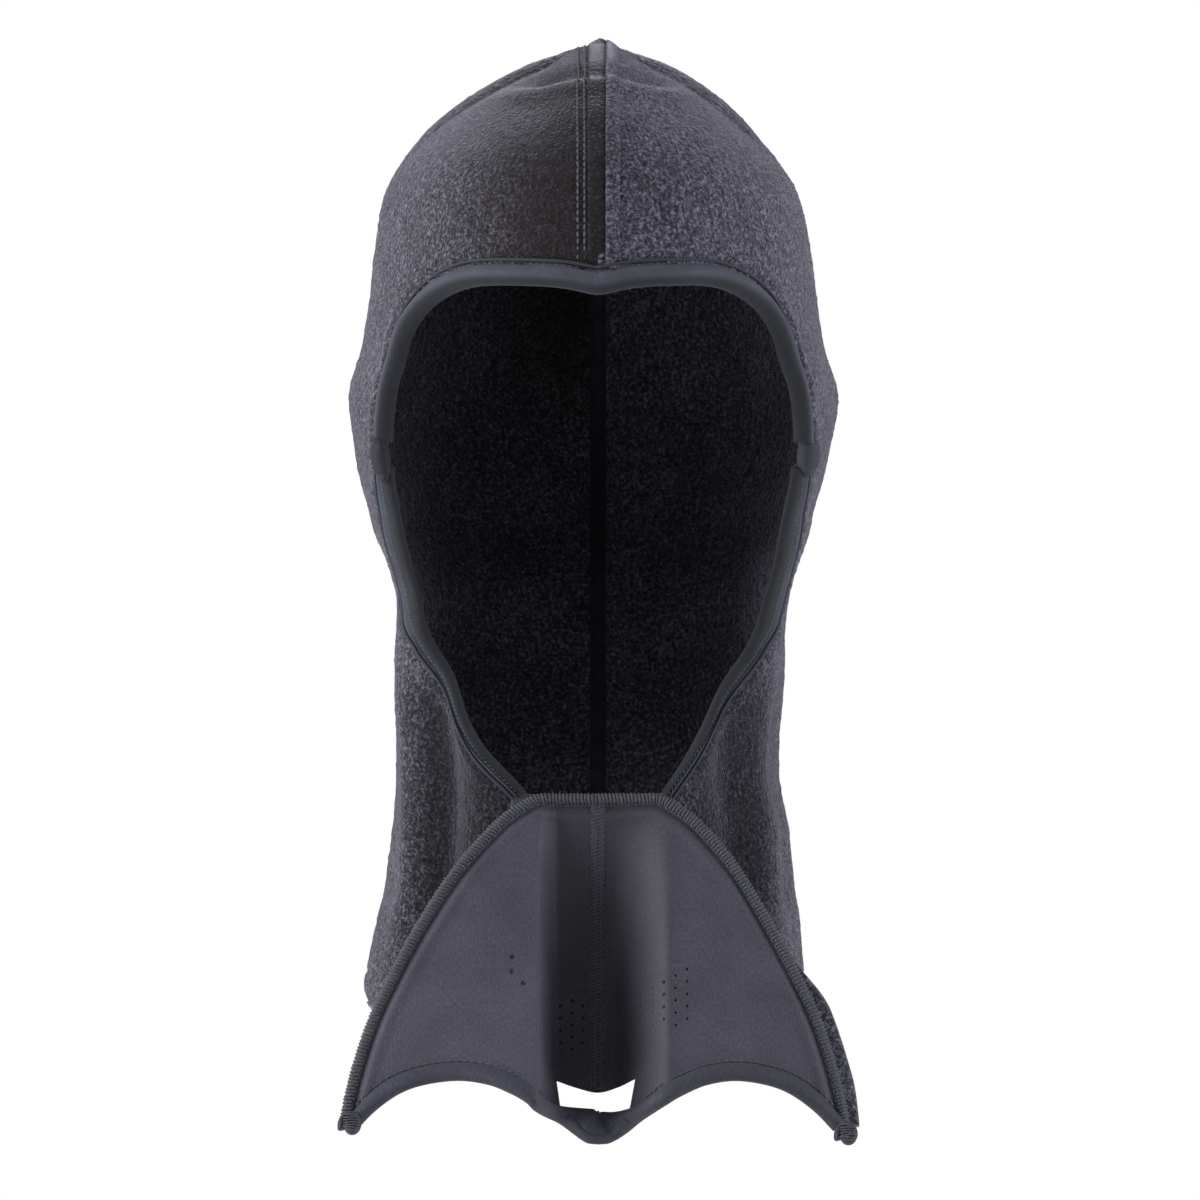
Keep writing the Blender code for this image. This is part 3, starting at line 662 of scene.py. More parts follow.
def fleece_finish(name, base, light, dark, seam_side=0.0, near_seam=None):
    """Brushed knit: mottled pile, light flecks, faint ribs under it, slow changes of tone, and painted shade in the
    upright folds at the front of the neck.
    """
    it = Finish(name)
    x, y, z = it.place.parts()
    u, v, _ = it.cloth.parts()
    pile = it.noise(it.place, 840.0, 2.0, 0.60, 0.15)
    fine = it.noise(it.place, 2100.0, 1.0, 0.5)
    slow = it.noise(it.place, 46.0, 3.0, 0.55)
    clumps = it.noise(it.place, 410.0, 2.0, 0.60, 0.2)
    flecks = it.specks(it.place, 620.0).ramp(0.20, 0.05) * fine.ramp(0.50, 0.62)
    ribs = (u * 2450.0 + slow * 5.0).wave() * 0.5 + 0.5
    tone = pile * 0.54 + fine * 0.23 + clumps * 0.14 + slow * 0.09
    shade = tone.ramp(0.39, 0.54).tint(dark, base)
    shade = tone.ramp(0.50, 0.64).tint(shade, light)
    shade = (ribs.ramp(0.55, 1.0) * 0.14).tint(shade, dark)
    if near_seam is not None:
        toward = x * seam_side
        close = toward.ramp(0.062, 0.012) * z.ramp(-0.150, -0.085)
        close = close * slow.ramp(0.15, 0.55, 0.75, 1.0)
        shade = (close * 0.86).tint(shade, near_seam)
    # Painted shade: the fleece goes nearly black in the upright folds at the front of the neck, where shade falls under
    # the jaw.
    toward = x * seam_side
    painted_neck_fold_shade = toward.ramp(0.018, 0.042) * toward.ramp(0.070, 0.051) * z.ramp(-0.185, -0.225) * z.ramp(-0.350, -0.315)
    painted_neck_fold_shade = painted_neck_fold_shade * y.ramp(0.010, -0.015) * slow.ramp(0.20, 0.50, 0.80, 1.0)
    shade = (painted_neck_fold_shade * 0.74).tint(shade, colour(17, 16, 19))
    shade = (flecks * 0.42).tint(shade, colour(128, 126, 138))
    height = pile * 0.60 + fine * 0.30 + clumps * 0.15 + ribs * 0.05
    return it.done(shade, 0.95, height, 0.0010, Sheen_Weight=0.85, Sheen_Roughness=0.33,
                   Sheen_Tint=colour(205, 205, 222), Specular_IOR_Level=0.12)


def jersey_finish(name, base, light, dark, rib=9800.0, inner_shade=None):
    """Smooth knit binding: fine ribs across it, slubs, rubbed ridges, and painted shade across the inner part of the
    band when a span across it is given.
    """
    it = Finish(name)
    u, v, _ = it.cloth.parts()
    slub = it.noise(it.stretched(it.cloth, (1.0, 3.0, 1.0)), 420.0, 3.0, 0.6)
    slow = it.noise(it.place, 90.0, 2.0, 0.5)
    ribs = (u * rib + slub * 2.0).wave() * 0.5 + 0.5
    loops = (v * 6500.0 + u * 900.0).wave() * 0.5 + 0.5
    tone = ribs * 0.18 + slub * 0.52 + slow * 0.30
    shade = tone.ramp(0.25, 0.60).tint(dark, base)
    shade = (tone.ramp(0.55, 0.85) * 0.8).tint(shade, light)
    # Painted shade: the band darkens across the given span of its width, standing in for the shade on its inner side.
    if inner_shade is not None:
        shade = (v.ramp(*inner_shade) * 0.80).tint(shade, colour(19, 20, 25))
    height = ribs * 0.3 + loops * 0.1 + slub * 0.4
    return it.done(shade, slub.ramp(0.3, 0.7, 0.70, 0.86), height, 0.00010, Sheen_Weight=0.14,
                   Sheen_Roughness=0.45, Sheen_Tint=colour(200, 205, 220), Specular_IOR_Level=0.30)


def laminate_finish(name, base, light, dark, trough=0.0):
    """Bonded softshell: a close knit face with a fine grain down the cloth and a faint dull gloss, and painted shade
    down the mask's middle trough when its strength is given.
    """
    it = Finish(name)
    u, v, _ = it.cloth.parts()
    grain = it.noise(it.stretched(it.cloth, (1.0, 0.32, 1.0)), 2300.0, 3.0, 0.6)
    knit = it.noise(it.stretched(it.cloth, (1.0, 0.70, 1.0)), 3600.0, 2.0, 0.6)
    slow = it.noise(it.place, 60.0, 3.0, 0.5)
    ribs = (u * 7800.0 + grain * 1.5).wave() * 0.5 + 0.5
    tone = grain * 0.50 + knit * 0.30 + slow * 0.20
    shade = tone.ramp(0.34, 0.62).tint(dark, base)
    shade = (tone.ramp(0.50, 0.76) * 0.8).tint(shade, light)
    # Painted shade: darkens the cloth between the steep wall and the gentle slope of the middle trough, where shade
    # falls.
    if trough:
        x, y, z = it.place.parts()
        shade = (x.ramp(-0.0200, -0.0105) * x.ramp(0.034, 0.008) * trough).tint(shade, colour(20, 20, 25))
    height = grain * 0.45 + knit * 0.4 + ribs * 0.25
    return it.done(shade, knit.ramp(0.3, 0.7, 0.62, 0.78), height, 0.00016, Sheen_Weight=0.10,
                   Sheen_Roughness=0.5, Sheen_Tint=colour(205, 205, 220), Specular_IOR_Level=0.38)


def thread_finish(name, base, light, pitch=9000.0):
    """Spun thread: plies twisted round it, with a slight gloss and loose fibres."""
    it = Finish(name)
    u, v, _ = it.cloth.parts()
    twist = (u * pitch + v * pitch * 1.4).wave() * 0.5 + 0.5
    dust = it.noise(it.place, 1500.0, 2.0, 0.6)
    shade = (twist * 0.6 + dust * 0.4).ramp(0.2, 0.85).tint(base, light)
    return it.done(shade, dust.ramp(0.3, 0.7, 0.48, 0.66), twist * 0.7 + dust * 0.3, 0.00008,
                   Sheen_Weight=0.25, Sheen_Roughness=0.4, Specular_IOR_Level=0.45)


FLEECE_RIGHT = fleece_finish("charcoal_fleece_browner", colour(62, 59, 67), colour(112, 109, 122),
                             colour(30, 28, 33), -1.0, colour(26, 23, 23))
FLEECE_LEFT = fleece_finish("charcoal_fleece_violet", colour(68, 66, 78), colour(116, 113, 130),
                            colour(34, 32, 39), 1.0)
FLEECE_REVERSE = fleece_finish("brushed_reverse", colour(58, 58, 68), colour(104, 104, 118), colour(30, 30, 37))
JERSEY = jersey_finish("slate_jersey", colour(48, 51, 61), colour(72, 76, 89), colour(35, 37, 45))
# A lighter copy of the slate jersey for the brow binding: painted lighter for its lit outer bead, with painted shade
# over its inner half.
BROW_JERSEY = jersey_finish("slate_jersey_inner_shade", colour(62, 65, 76), colour(92, 95, 107), colour(46, 48, 58),
                            inner_shade=(0.0029, 0.0039))
# A darker copy of the slate jersey for the bunched temple tab: painted shade of its gathers.
SHADED_GATHERED_JERSEY = jersey_finish("slate_jersey_gathered_shade", colour(34, 36, 44), colour(54, 57, 67), colour(23, 24, 30))
# The cheek facing, with painted shade over its inner part.
FACING = jersey_finish("slate_facing", colour(56, 60, 71), colour(80, 84, 97), colour(34, 36, 44), 9200.0,
                       inner_shade=(0.0018, 0.0030))
# 0.50 is the strength of the painted shade in the middle trough.
LAMINATE = laminate_finish("dark_softshell", colour(63, 62, 76), colour(92, 92, 111), colour(46, 46, 57), 0.50)
HEM_CLOTH = laminate_finish("turned_softshell", colour(52, 53, 67), colour(78, 79, 97), colour(36, 36, 46))
SERGING = thread_finish("slate_serging_thread", colour(20, 21, 26), colour(80, 83, 94))
SEWING = thread_finish("slate_sewing_thread", colour(36, 38, 45), colour(78, 82, 93))
COVERSTITCH = thread_finish("light_grey_coverstitch", colour(46, 46, 52), colour(84, 84, 92))

# ---------------------------------------------------------------- hood panels


def opening_outline(outward):
    """Half the face opening as (angle, drop), moved away from the opening by a share of the binding's width."""
    shares = np.linspace(0, 1, 500)
    angle, drop = face_edge(shares, band_width(shares) * outward)
    return np.stack([angle, drop], axis=1)


def flat_of(angle_drop):
    return np.stack([np.radians(angle_drop[..., 0]) * PATTERN_RADIUS, angle_drop[..., 1]], axis=-1)


THROAT_TOP = 0.2540
PILE_RELIEF = 0.00013


def panel_mesh(name, side, columns=210, rows=232):
    angles = np.linspace(0, 180, columns + 1)
    levels = np.linspace(0, 1, rows + 1)
    angle, share = np.meshgrid(angles, levels)
    drop = np.interp(share, PROFILE_SHARES, PROFILE[:, 0]) * HOOD_HEIGHT
    edge = opening_outline(0.72)
    edge = edge[edge[:, 1] < THROAT_TOP]
    loop = flat_of(np.concatenate([[(-8.0, edge[0, 1])], edge, [(edge[-1, 0], THROAT_TOP), (-8.0, THROAT_TOP)]]))
    fine = np.concatenate([np.linspace(a, b, 60, endpoint=False) for a, b in zip(loop[-3:-1], loop[-2:])])
    edge_points = np.concatenate([loop[1:-1], fine])
    here = flat_of(np.stack([angle, drop], axis=-1))
    inside = np.zeros(here.shape[:2], bool)
    for a, b in zip(loop, np.roll(loop, -1, axis=0)):
        crosses = (a[1] > here[..., 1]) != (b[1] > here[..., 1])
        with np.errstate(divide="ignore", invalid="ignore"):
            at = (b[0] - a[0]) * (here[..., 1] - a[1]) / (b[1] - a[1]) + a[0]
        inside ^= crosses & (here[..., 0] < at)
    gone = inside[:-1, :-1] | inside[1:, :-1] | inside[1:, 1:] | inside[:-1, 1:]
    near = np.zeros_like(inside)
    for rows_part in (slice(0, -1), slice(1, None)):
        for columns_part in (slice(0, -1), slice(1, None)):
            near[rows_part, columns_part] |= gone
    for i, j in np.argwhere(near & ~inside):
        if j == 0:
            edge_drop = edge[0, 1] if drop[i, j] < 0.15 else THROAT_TOP
            found = np.array((0.0, edge_drop))
        else:
            found = edge_points[np.argmin(((edge_points - here[i, j]) ** 2).sum(axis=1))]
        angle[i, j] = np.degrees(found[0] / PATTERN_RADIUS)
        share[i, j] = share_of(found[1])
        drop[i, j] = found[1]
    rim = flat_of(opening_outline(1.0))
    far = np.full(angle.shape, 1.0)
    place = flat_of(np.stack([angle, drop], axis=-1))
    for k in range(0, len(rim), 2):
        far = np.minimum(far, np.hypot(place[..., 0] - rim[k, 0], place[..., 1] - rim[k, 1]))
    below_chin = smooth(drop, 0.235, 0.252)
    lip = (0.0007 * bump(far, 0.0036, 0.0018) - 0.0014 * np.exp(-((far / 0.0016) ** 2))) * (1 - below_chin)
    off_seam = smooth(angle, 1.0, 3.0) * smooth(angle, 180.0, 178.5)
    relief = random.normal(0, PILE_RELIEF, angle.shape) * (share > 0.02) * off_seam
    points = hood(side * angle, share, lip + relief)
    index = np.arange(angle.size).reshape(angle.shape)
    quads = quads_of(index)[~gone]
    if side < 0:
        quads = quads[:, ::-1]
    flat = np.stack([np.radians(angle) * PATTERN_RADIUS, share * 0.37], axis=-1).reshape(-1, 2)
    mesh = mesh_of(name, points, quads.tolist(), flat[quads.reshape(-1)])
    return worked(mesh, loose=True, merge=1e-5, outward=False)


def fleece_panel(name, side, finish):
    made = piece(name, panel_mesh(name, side), finish)
    return keep(made, "SOLIDIFY", thickness=FLEECE, offset=-1.0, use_even_offset=True)


hood_fleece_left = fleece_panel("hood_fleece_left", 1, FLEECE_LEFT)
hood_fleece_right = fleece_panel("hood_fleece_right", -1, FLEECE_RIGHT)

# ---------------------------------------------------------------- crown and back seam


SEAM_FRONT, SEAM_BACK = BROW_DROP - 0.0085, HOOD_HEIGHT - 0.0135  # drops at which the crown's seam ends


def seam_line(x, lift, count):
    """Evenly spaced points of the hood at this x, from the brow over the crown and down the back to the hem."""
    aside = x if abs(x) > 1e-6 else 1e-6
    breadth = PROFILE[:, 1] * HALF_BREADTH
    top = float(np.interp(abs(aside), breadth[:200], PROFILE_SHARES[:200]))
    steps = np.linspace(0, 1, 700) ** 2

    def run(drop):
        shares = top + (float(share_of(drop)) - top) * steps
        turn = np.degrees(np.arcsin(np.clip(aside / (np.interp(shares, PROFILE_SHARES, PROFILE[:, 1]) * HALF_BREADTH),
                                            -1, 1)))
        return turn, shares

    turn, shares = run(SEAM_FRONT)
    turn_back, shares_back = run(SEAM_BACK)
    over = np.where(turn_back > 0, 180 - turn_back, -180 - turn_back)
    turn, shares = np.concatenate([turn[::-1], over[1:]]), np.concatenate([shares[::-1], shares_back[1:]])
    plain = hood(turn, shares)
    far = lengths(plain)
    at = np.linspace(0, far[-1], count)
    raised = hood(turn, shares, lift)
    return sampled(at, far, raised)


def seam_place(x):
    raised, count = 0.001, 900
    lines = [seam_line(x, lift, count) for lift in (0.0, raised)]

    def place(share, lift):
        low, high = (sampled(np.asarray(share) * (count - 1), np.arange(count), line) for line in lines)
        return low + (high - low) * (lift / raised)

    return place


def seam_band(name, outline, finish, count=480):
    """A closed strip along the crown and back seam with this outline of (x, lift)."""
    rings = np.stack([seam_line(x, lift, count) for x, lift in outline], axis=1)
    return strip(name, rings, finish)


seam_allowance = seam_band("crown_seam_allowance", [
    (-0.0036, -0.0004), (-0.0032, 0.0002), (-0.0024, 0.0005), (-0.0010, 0.0004), (0.0006, 0.0005),
    (0.0020, 0.0004), (0.0034, 0.0000), (0.0030, -0.0014), (0.0, -0.0018), (-0.0030, -0.0014),
], FLEECE_RIGHT)
seam_fold = seam_band("crown_seam_fold", [
    (0.0026, -0.0006), (0.0025, 0.0004), (0.0029, 0.0010), (0.0038, 0.0013), (0.0052, 0.0011),
    (0.0068, 0.0004), (0.0078, -0.0006), (0.0060, -0.0014), (0.0038, -0.0014),
], FLEECE_LEFT)
inside_ridge = seam_band("crown_seam_inside", [
    (-0.0030, -0.0022), (-0.0012, -0.0022), (0.0012, -0.0022), (0.0030, -0.0022), (0.0026, -0.0031),
    (0.0013, -0.0038), (-0.0011, -0.0038), (-0.0026, -0.0031),
], FACING)
crown_stitches_outer, crown_stitches_inner = (
    row_of_stitches(f"crown_coverstitch_{word}", seam_place(x), 0.0024, COVERSTITCH, length=0.84, radius=0.00034,
                    arch=0.00030, wobble=0.05)
    for word, x in (("outer", -0.0066), ("inner", -0.0044))
)

# ---------------------------------------------------------------- throat seam and neck hem


def throat_place(x):
    def place(share, lift):
        drop = THROAT_TOP + 0.0010 + np.asarray(share) * (HOOD_HEIGHT - 0.0130 - THROAT_TOP)
        angle = np.degrees(np.arcsin(x / (np.interp(share_of(drop), PROFILE_SHARES, PROFILE[:, 1]) * HALF_BREADTH)))
        return hood(angle, share_of(drop), lift)
    return place


throat_shares = np.linspace(0, 1, 70)
throat_seam = strip("throat_seam_roll", np.stack([
    throat_place(x)(throat_shares, lift) for x, lift in
    ((-0.0025, -0.0004), (-0.0019, 0.0006), (-0.0006, 0.0011), (0.0008, 0.0010), (0.0020, 0.0005), (0.0025, -0.0004),
     (0.0012, -0.0012), (-0.0012, -0.0012))], axis=1), FLEECE_LEFT)

hem_angles = np.linspace(-180, 180, 361)[:-1]
hem_section = [(0.0018, -0.0004), (0.0010, 0.0010), (-0.0002, 0.0006), (-0.0012, -0.0006), (-0.0012, -0.0024),
               (0.0000, -0.0038), (0.0030, -0.0046), (0.0080, -0.0046), (0.0100, -0.0040), (0.0098, -0.0028),
               (0.0060, -0.0030), (0.0030, -0.0026)]
rings = np.stack([hood(hem_angles, share_of(HOOD_HEIGHT - up), lift) - (0, 0, max(0.0, -up))
                  for up, lift in hem_section], axis=1)
rings = np.concatenate([rings, rings[:1]])
hem_uv = np.stack(np.meshgrid(lengths(rings.mean(axis=1)), np.linspace(0, 0.02, len(hem_section)), indexing="ij"),
                  axis=-1)
neck_hem = piece("neck_hem_fold", worked(grid_mesh("neck_hem_fold", rings, hem_uv, ring=True), merge=1e-6), FLEECE_LEFT)


def round_neck(up):
    def place(share, lift):
        return hood(-179.5 + 359 * np.asarray(share), share_of(HOOD_HEIGHT - up), lift)
    return place


neck_stitches = row_of_stitches("neck_hem_stitching", round_neck(0.0112), 0.0028, SEWING, length=0.8, radius=0.00030,
                                arch=0.00018)

# ---------------------------------------------------------------- bindings round the face


def edge_point(share, outward, lift):
    """Points beside the face opening's edge; a share below 0 is on the wearer's right."""
    share = np.asarray(share, float)
    angle, drop = face_edge(abs(share), outward)
    return hood(np.where(share < 0, -angle, angle), share_of(drop), lift)


def binding(name, shares, section, finish):
    """A closed band along the face opening; section gives (part of the width, extra outward, lift) round it."""
    wide = band_width(abs(shares))
    rings = np.stack([edge_point(shares, wide * part + extra, lift * np.ones_like(shares))
                      for part, extra, lift in section], axis=1)
    return strip(name, rings, finish)


def edge_shares(start, end, step=0.0012):
    fine = np.linspace(start, end, 500)
    far = lengths(edge_point(fine, 0.0 * fine, 0.0))
    return np.interp(np.linspace(0, far[-1], int(far[-1] / step) + 1), far, fine)


BROW_SECTION = [
    (1.0, 0.0004, -0.0022), (1.0, -0.0002, -0.0010), (1.0, -0.0010, -0.0004), (1.0, -0.0016, 0.0003),
    (1.0, -0.0022, 0.0013), (1.0, -0.0030, 0.0020), (0.50, 0.0, 0.0024), (0.36, 0.0, 0.0022), (0.22, 0.0, 0.0015),
    (0.10, 0.0, 0.0004), (0.02, 0.0, -0.0010), (0.0, 0.0000, -0.0024), (0.04, 0.0, -0.0036), (0.20, 0.0, -0.0042),
    (0.50, 0.0, -0.0040), (0.80, 0.0, -0.0036), (1.0, -0.0004, -0.0032),
]
BROW_END = TEMPLE_TOP + 0.006
brow_binding = binding("brow_binding_roll", edge_shares(-BROW_END, BROW_END), BROW_SECTION, BROW_JERSEY)


def round_section(wide, high, outward, lift):
    """A small roll at the outer edge of a binding."""
    return [(1.0, wide * math.cos(turn) + outward, high * math.sin(turn) + lift)
            for turn in np.linspace(math.pi, -math.pi, 10, endpoint=False)]


brow_ridge = binding("brow_binding_piping", edge_shares(-BROW_END, BROW_END, 0.0016),
                     round_section(0.0005, 0.0006, 0.0002, -0.0001), JERSEY)


def brow_seam(outward):
    def place(share, lift):
        at = -TEMPLE_TOP + 0.01 + np.asarray(share) * (2 * TEMPLE_TOP - 0.02)
        return edge_point(at, band_width(abs(at)) + outward, lift - 0.0004)
    return place


brow_stitches = row_of_stitches("brow_binding_stitching", brow_seam(-0.0010), 0.0022, SEWING, length=0.8,
                                radius=0.00026, arch=0.00020)

CHEEK_SECTION = [
    (1.0, -0.0004, -0.0012), (1.0, -0.0006, 0.0000), (1.0, -0.0014, 0.0006), (0.66, 0.0, 0.0004),
    (0.56, 0.0, -0.0004), (0.47, 0.0, -0.0007), (0.38, 0.0, -0.0005), (0.27, 0.0, -0.0006), (0.12, 0.0, -0.0013),
    (0.03, 0.0, -0.0022), (0.0, -0.0001, -0.0031), (0.06, 0.0, -0.0041), (0.35, 0.0, -0.0044), (0.70, 0.0, -0.0042),
    (1.0, -0.0010, -0.0034),
]
PIPING = round_section(0.0006, 0.0006, 0.0001, 0.0003)
cheeks = {}
for side, word in ((1, "left"), (-1, "right")):
    shares = edge_shares(TEMPLE_FOOT - 0.012, CHIN_SHARE) * side
    facing = binding(f"cheek_facing_{word}", shares, CHEEK_SECTION, FACING)
    piping = binding(f"cheek_piping_{word}", shares, PIPING, JERSEY)

    def cheek_seam(share, lift, side=side):
        at = TEMPLE_FOOT + np.asarray(share) * (CHIN_SHARE - 0.004 - TEMPLE_FOOT)
        return edge_point(side * at, band_width(at) * 0.47, lift - 0.0006)

    stitching = row_of_stitches(f"cheek_facing_stitching_{word}", cheek_seam, 0.0017, COVERSTITCH, length=0.80,
                                radius=0.00026, arch=0.00022, wobble=0.25, slant=0.55)
    cheeks[word] = (facing, piping, stitching)

# ---------------------------------------------------------------- temple ends of the bindings


def lump(name, centre_share, outward, long, wide, thick, side, creases, finish, twist=0.0):
    """A sewn-down end of the binding: a flattened cushion of jersey with creases across it."""
    bpy.ops.object.select_all(action="DESELECT")
    bpy.ops.mesh.primitive_uv_sphere_add(segments=40, ring_count=28, radius=1)
    made = bpy.context.active_object
    made.name = name
    co = corners_of(made)
    along, across, up = co[:, 2], co[:, 0], co[:, 1]
    square = np.sign(along) * abs(along) ** 0.75
    shift = 1 - sum(depth * np.exp(-(((square - at) / 0.10) ** 2)) for at, depth in creases)
    here = edge_point(np.array([side * centre_share] * 3), np.array([outward, outward + 0.001, outward]),
                      np.array([0.0, 0.0, 0.001]))
    out = here[2] - here[0]
    out = unit(out)
    sidewise = here[1] - here[0]
    sidewise -= out * (sidewise @ out)
    sidewise = unit(sidewise)
    down = np.cross(sidewise, out) * side
    down *= -1 if down[2] > 0 else 1
    turn = math.radians(twist)
    down, sidewise = (down * math.cos(turn) + sidewise * math.sin(turn),
                      sidewise * math.cos(turn) - down * math.sin(turn))
    grain = 0.00012 * np.sin(along * 60 + across * 3)
    points = (here[0] + np.outer(square * long, down) + np.outer(across * wide * (0.9 + 0.1 * shift), sidewise)
              + np.outer(up * thick * shift + grain, out))
    made.data.vertices.foreach_set("co", points.astype(np.float32).reshape(-1))
    made.data.uv_layers[0].name = "cloth"
    uv = np.stack([square * long, across * wide], axis=1)
    corners = np.array([loop.vertex_index for loop in made.data.loops])
    made.data.uv_layers["cloth"].data.foreach_set("uv", uv[corners].astype(np.float32).reshape(-1))
    worked(made.data)
    made.data.materials.clear()
    made.data.materials.append(finish)
    made.data.shade_smooth()
    return made


TEMPLE_MIDDLE = (TEMPLE_TOP + TEMPLE_FOOT) / 2
tab_left = lump("temple_tab_rounded", TEMPLE_MIDDLE, 0.0046, 0.0070, 0.0046, 0.0036, 1, [(0.66, 0.14)], JERSEY, 8.0)
# The gathered tab takes the darker jersey copy, painted shade of its gathers.
tab_right = lump("temple_tab_gathered", TEMPLE_MIDDLE, 0.0022, 0.0086, 0.0038, 0.0032, -1,
                 [(-0.52, 0.42), (-0.08, 0.12), (0.34, 0.18), (0.72, 0.36)], SHADED_GATHERED_JERSEY, -4.0)

# ---------------------------------------------------------------- chin


def chin_point(x, up, lift):
    drop = THROAT_TOP - np.asarray(up, float)
    breadth = np.interp(share_of(drop), PROFILE_SHARES, PROFILE[:, 1]) * HALF_BREADTH
    return hood(np.degrees(np.arcsin(x / breadth)), share_of(drop), lift)


CHIN_HALF = 0.0262
chin_x = np.linspace(-CHIN_HALF, CHIN_HALF, 60)
chin_sag = 0.0006 * (1 - (chin_x / CHIN_HALF) ** 2)
chin_binding = strip("chin_binding_roll", np.stack([
    chin_point(chin_x, up - chin_sag, lift) for up, lift in
    ((-0.0010, 0.0000), (0.0004, 0.0009), (0.0020, 0.0011), (0.0034, 0.0006), (0.0042, -0.0008), (0.0040, -0.0024),
     (0.0026, -0.0036), (0.0006, -0.0038), (-0.0010, -0.0034))], axis=1), FACING)

# ---------------------------------------------------------------- mask cloth

EDGE_START = 0.0175
edge_line = evenly(WING_EDGE[1:], 700)
edge_line = np.concatenate([[(0.0, 0.0)], edge_line])
edge_far = lengths(edge_line)
EDGE_LENGTH = edge_far[-1]


def wing_edge(far, inward=0.0):
    """(u, v) at this distance along the serged edge from the middle of the fold, moved into the cloth."""
    def at(far):
        return sampled(far, edge_far, edge_line)
    far = np.asarray(far, float)
    way = at(far + 0.002) - at(np.maximum(far - 0.002, 0))
    way = unit(way)
    return at(far) + np.stack([-way[..., 1], way[..., 0]], axis=-1) * inward


foot_line = evenly(HEM_FOOT, 400)


def hem_foot(u):
    """v of the mask's lower edge at this distance from the centre."""
    return v_at(u, np.interp(abs(u), foot_line[:, 0], foot_line[:, 1]))


def mask_grid(side, rows=136, columns=112):
    """u, v over half of the mask, from the fold and the centre seam to the serged edge and the hem."""
    p, q = np.linspace(0, 1, columns + 1), np.linspace(0, 1, rows + 1)
    reach = EDGE_LENGTH - 0.0015
    right = wing_edge(EDGE_START + q * (reach - EDGE_START), 0.0004)
    top = np.stack([p * right[0, 0], 0 * p + 0.0003], axis=-1)
    u = p * (right[-1, 0])
    bottom = np.stack([u, hem_foot(side * np.minimum(u, 0.0775)) - 0.0022], axis=-1)
    bottom[:, 1] += (right[-1, 1] - bottom[-1, 1]) * smooth(p, 0.9, 1.0)
    left = np.stack([0 * q, 0.0003 + q * (bottom[0, 1] - 0.0003)], axis=-1)
    P, Q = p[None, :, None], q[:, None, None]
    ruled = left[:, None] * (1 - P) + right[:, None] * P + top[None] * (1 - Q) + bottom[None] * Q
    corners = (top[0] * (1 - P) * (1 - Q) + top[-1] * P * (1 - Q) + bottom[0] * (1 - P) * Q + bottom[-1] * P * Q)
    flat = ruled - corners
    return side * flat[..., 0], flat[..., 1]


def bores(name, flat_points, radius, depth):
    """Short rods through the mask where its holes are, joined into one cutter."""
    bpy.ops.object.select_all(action="DESELECT")
    bpy.ops.mesh.primitive_cylinder_add(vertices=10, radius=radius, depth=depth)
    co, faces = taken(bpy.context.active_object)
    u, v = np.array(flat_points).T
    here, above = mask(u, v, 0.0006), mask(u, v, 0.0016)
    axis = above - here
    axis = unit(axis)
    side_way = np.cross(axis, (0, 0, 1.0))
    side_way = unit(side_way)
    basis = np.stack([side_way, np.cross(axis, side_way), axis], axis=1)
    points = here[:, None] + np.einsum("pk,nkj->npj", co, basis)
    every = [[i + k * len(co) for i in face] for k in range(len(u)) for face in faces]
    return placed(name, mesh_of(name, points, every))


def nose_cutter():
    """A block through the mask in the shape of the nose opening."""
    outline = curve([(-0.0136, -0.3412), (-0.0070, -0.3434), (0.0, -0.3449), (0.0066, -0.3432), (0.0122, -0.3402)],
                    np.linspace(0, 1, 30))
    foot = np.array([(0.0098, -0.3530), (0.0, -0.3600), (-0.0118, -0.3530)])
    loop = np.concatenate([outline, foot])
    near, far = np.full((len(loop), 1), -0.16), np.full((len(loop), 1), -0.04)
    points = np.concatenate([np.hstack([loop[:, :1], y, loop[:, 1:]]) for y in (near, far)])
    n = len(loop)
    faces = [list(range(n)), list(range(2 * n - 1, n - 1, -1))]
    faces += [[i, n + i, n + (i + 1) % n, (i + 1) % n] for i in range(n)]
    return placed("nose_cutter", worked(mesh_of("nose_cutter", points, faces)))


def height_to_v(u, z):
    return float(v_at(np.array(u), np.array(z)))


HOLES = [(x, height_to_v(x, z)) for x, z in ((-0.0281, -0.3000), (-0.0281, -0.3046), (-0.0244, -0.3086))]
DIMPLES = []  # the smaller holes on both sides of the centre seam
HOLE_RADIUS, DIMPLE_RADIUS = 0.00090, 0.00046
for column in range(4):
    for row in range(5 - column % 2):
        x, z = -0.0158 + 0.0036 * column, -0.3150 - 0.0040 * row - 0.0018 * (column % 2)
        DIMPLES.append((x, height_to_v(x, z)))
for column in range(6):
    for row in range(5 - column // 2):
        x, z = 0.0292 - 0.0038 * column, -0.3040 - 0.0040 * row - 0.0021 * column
        DIMPLES.append((x, height_to_v(x, z)))


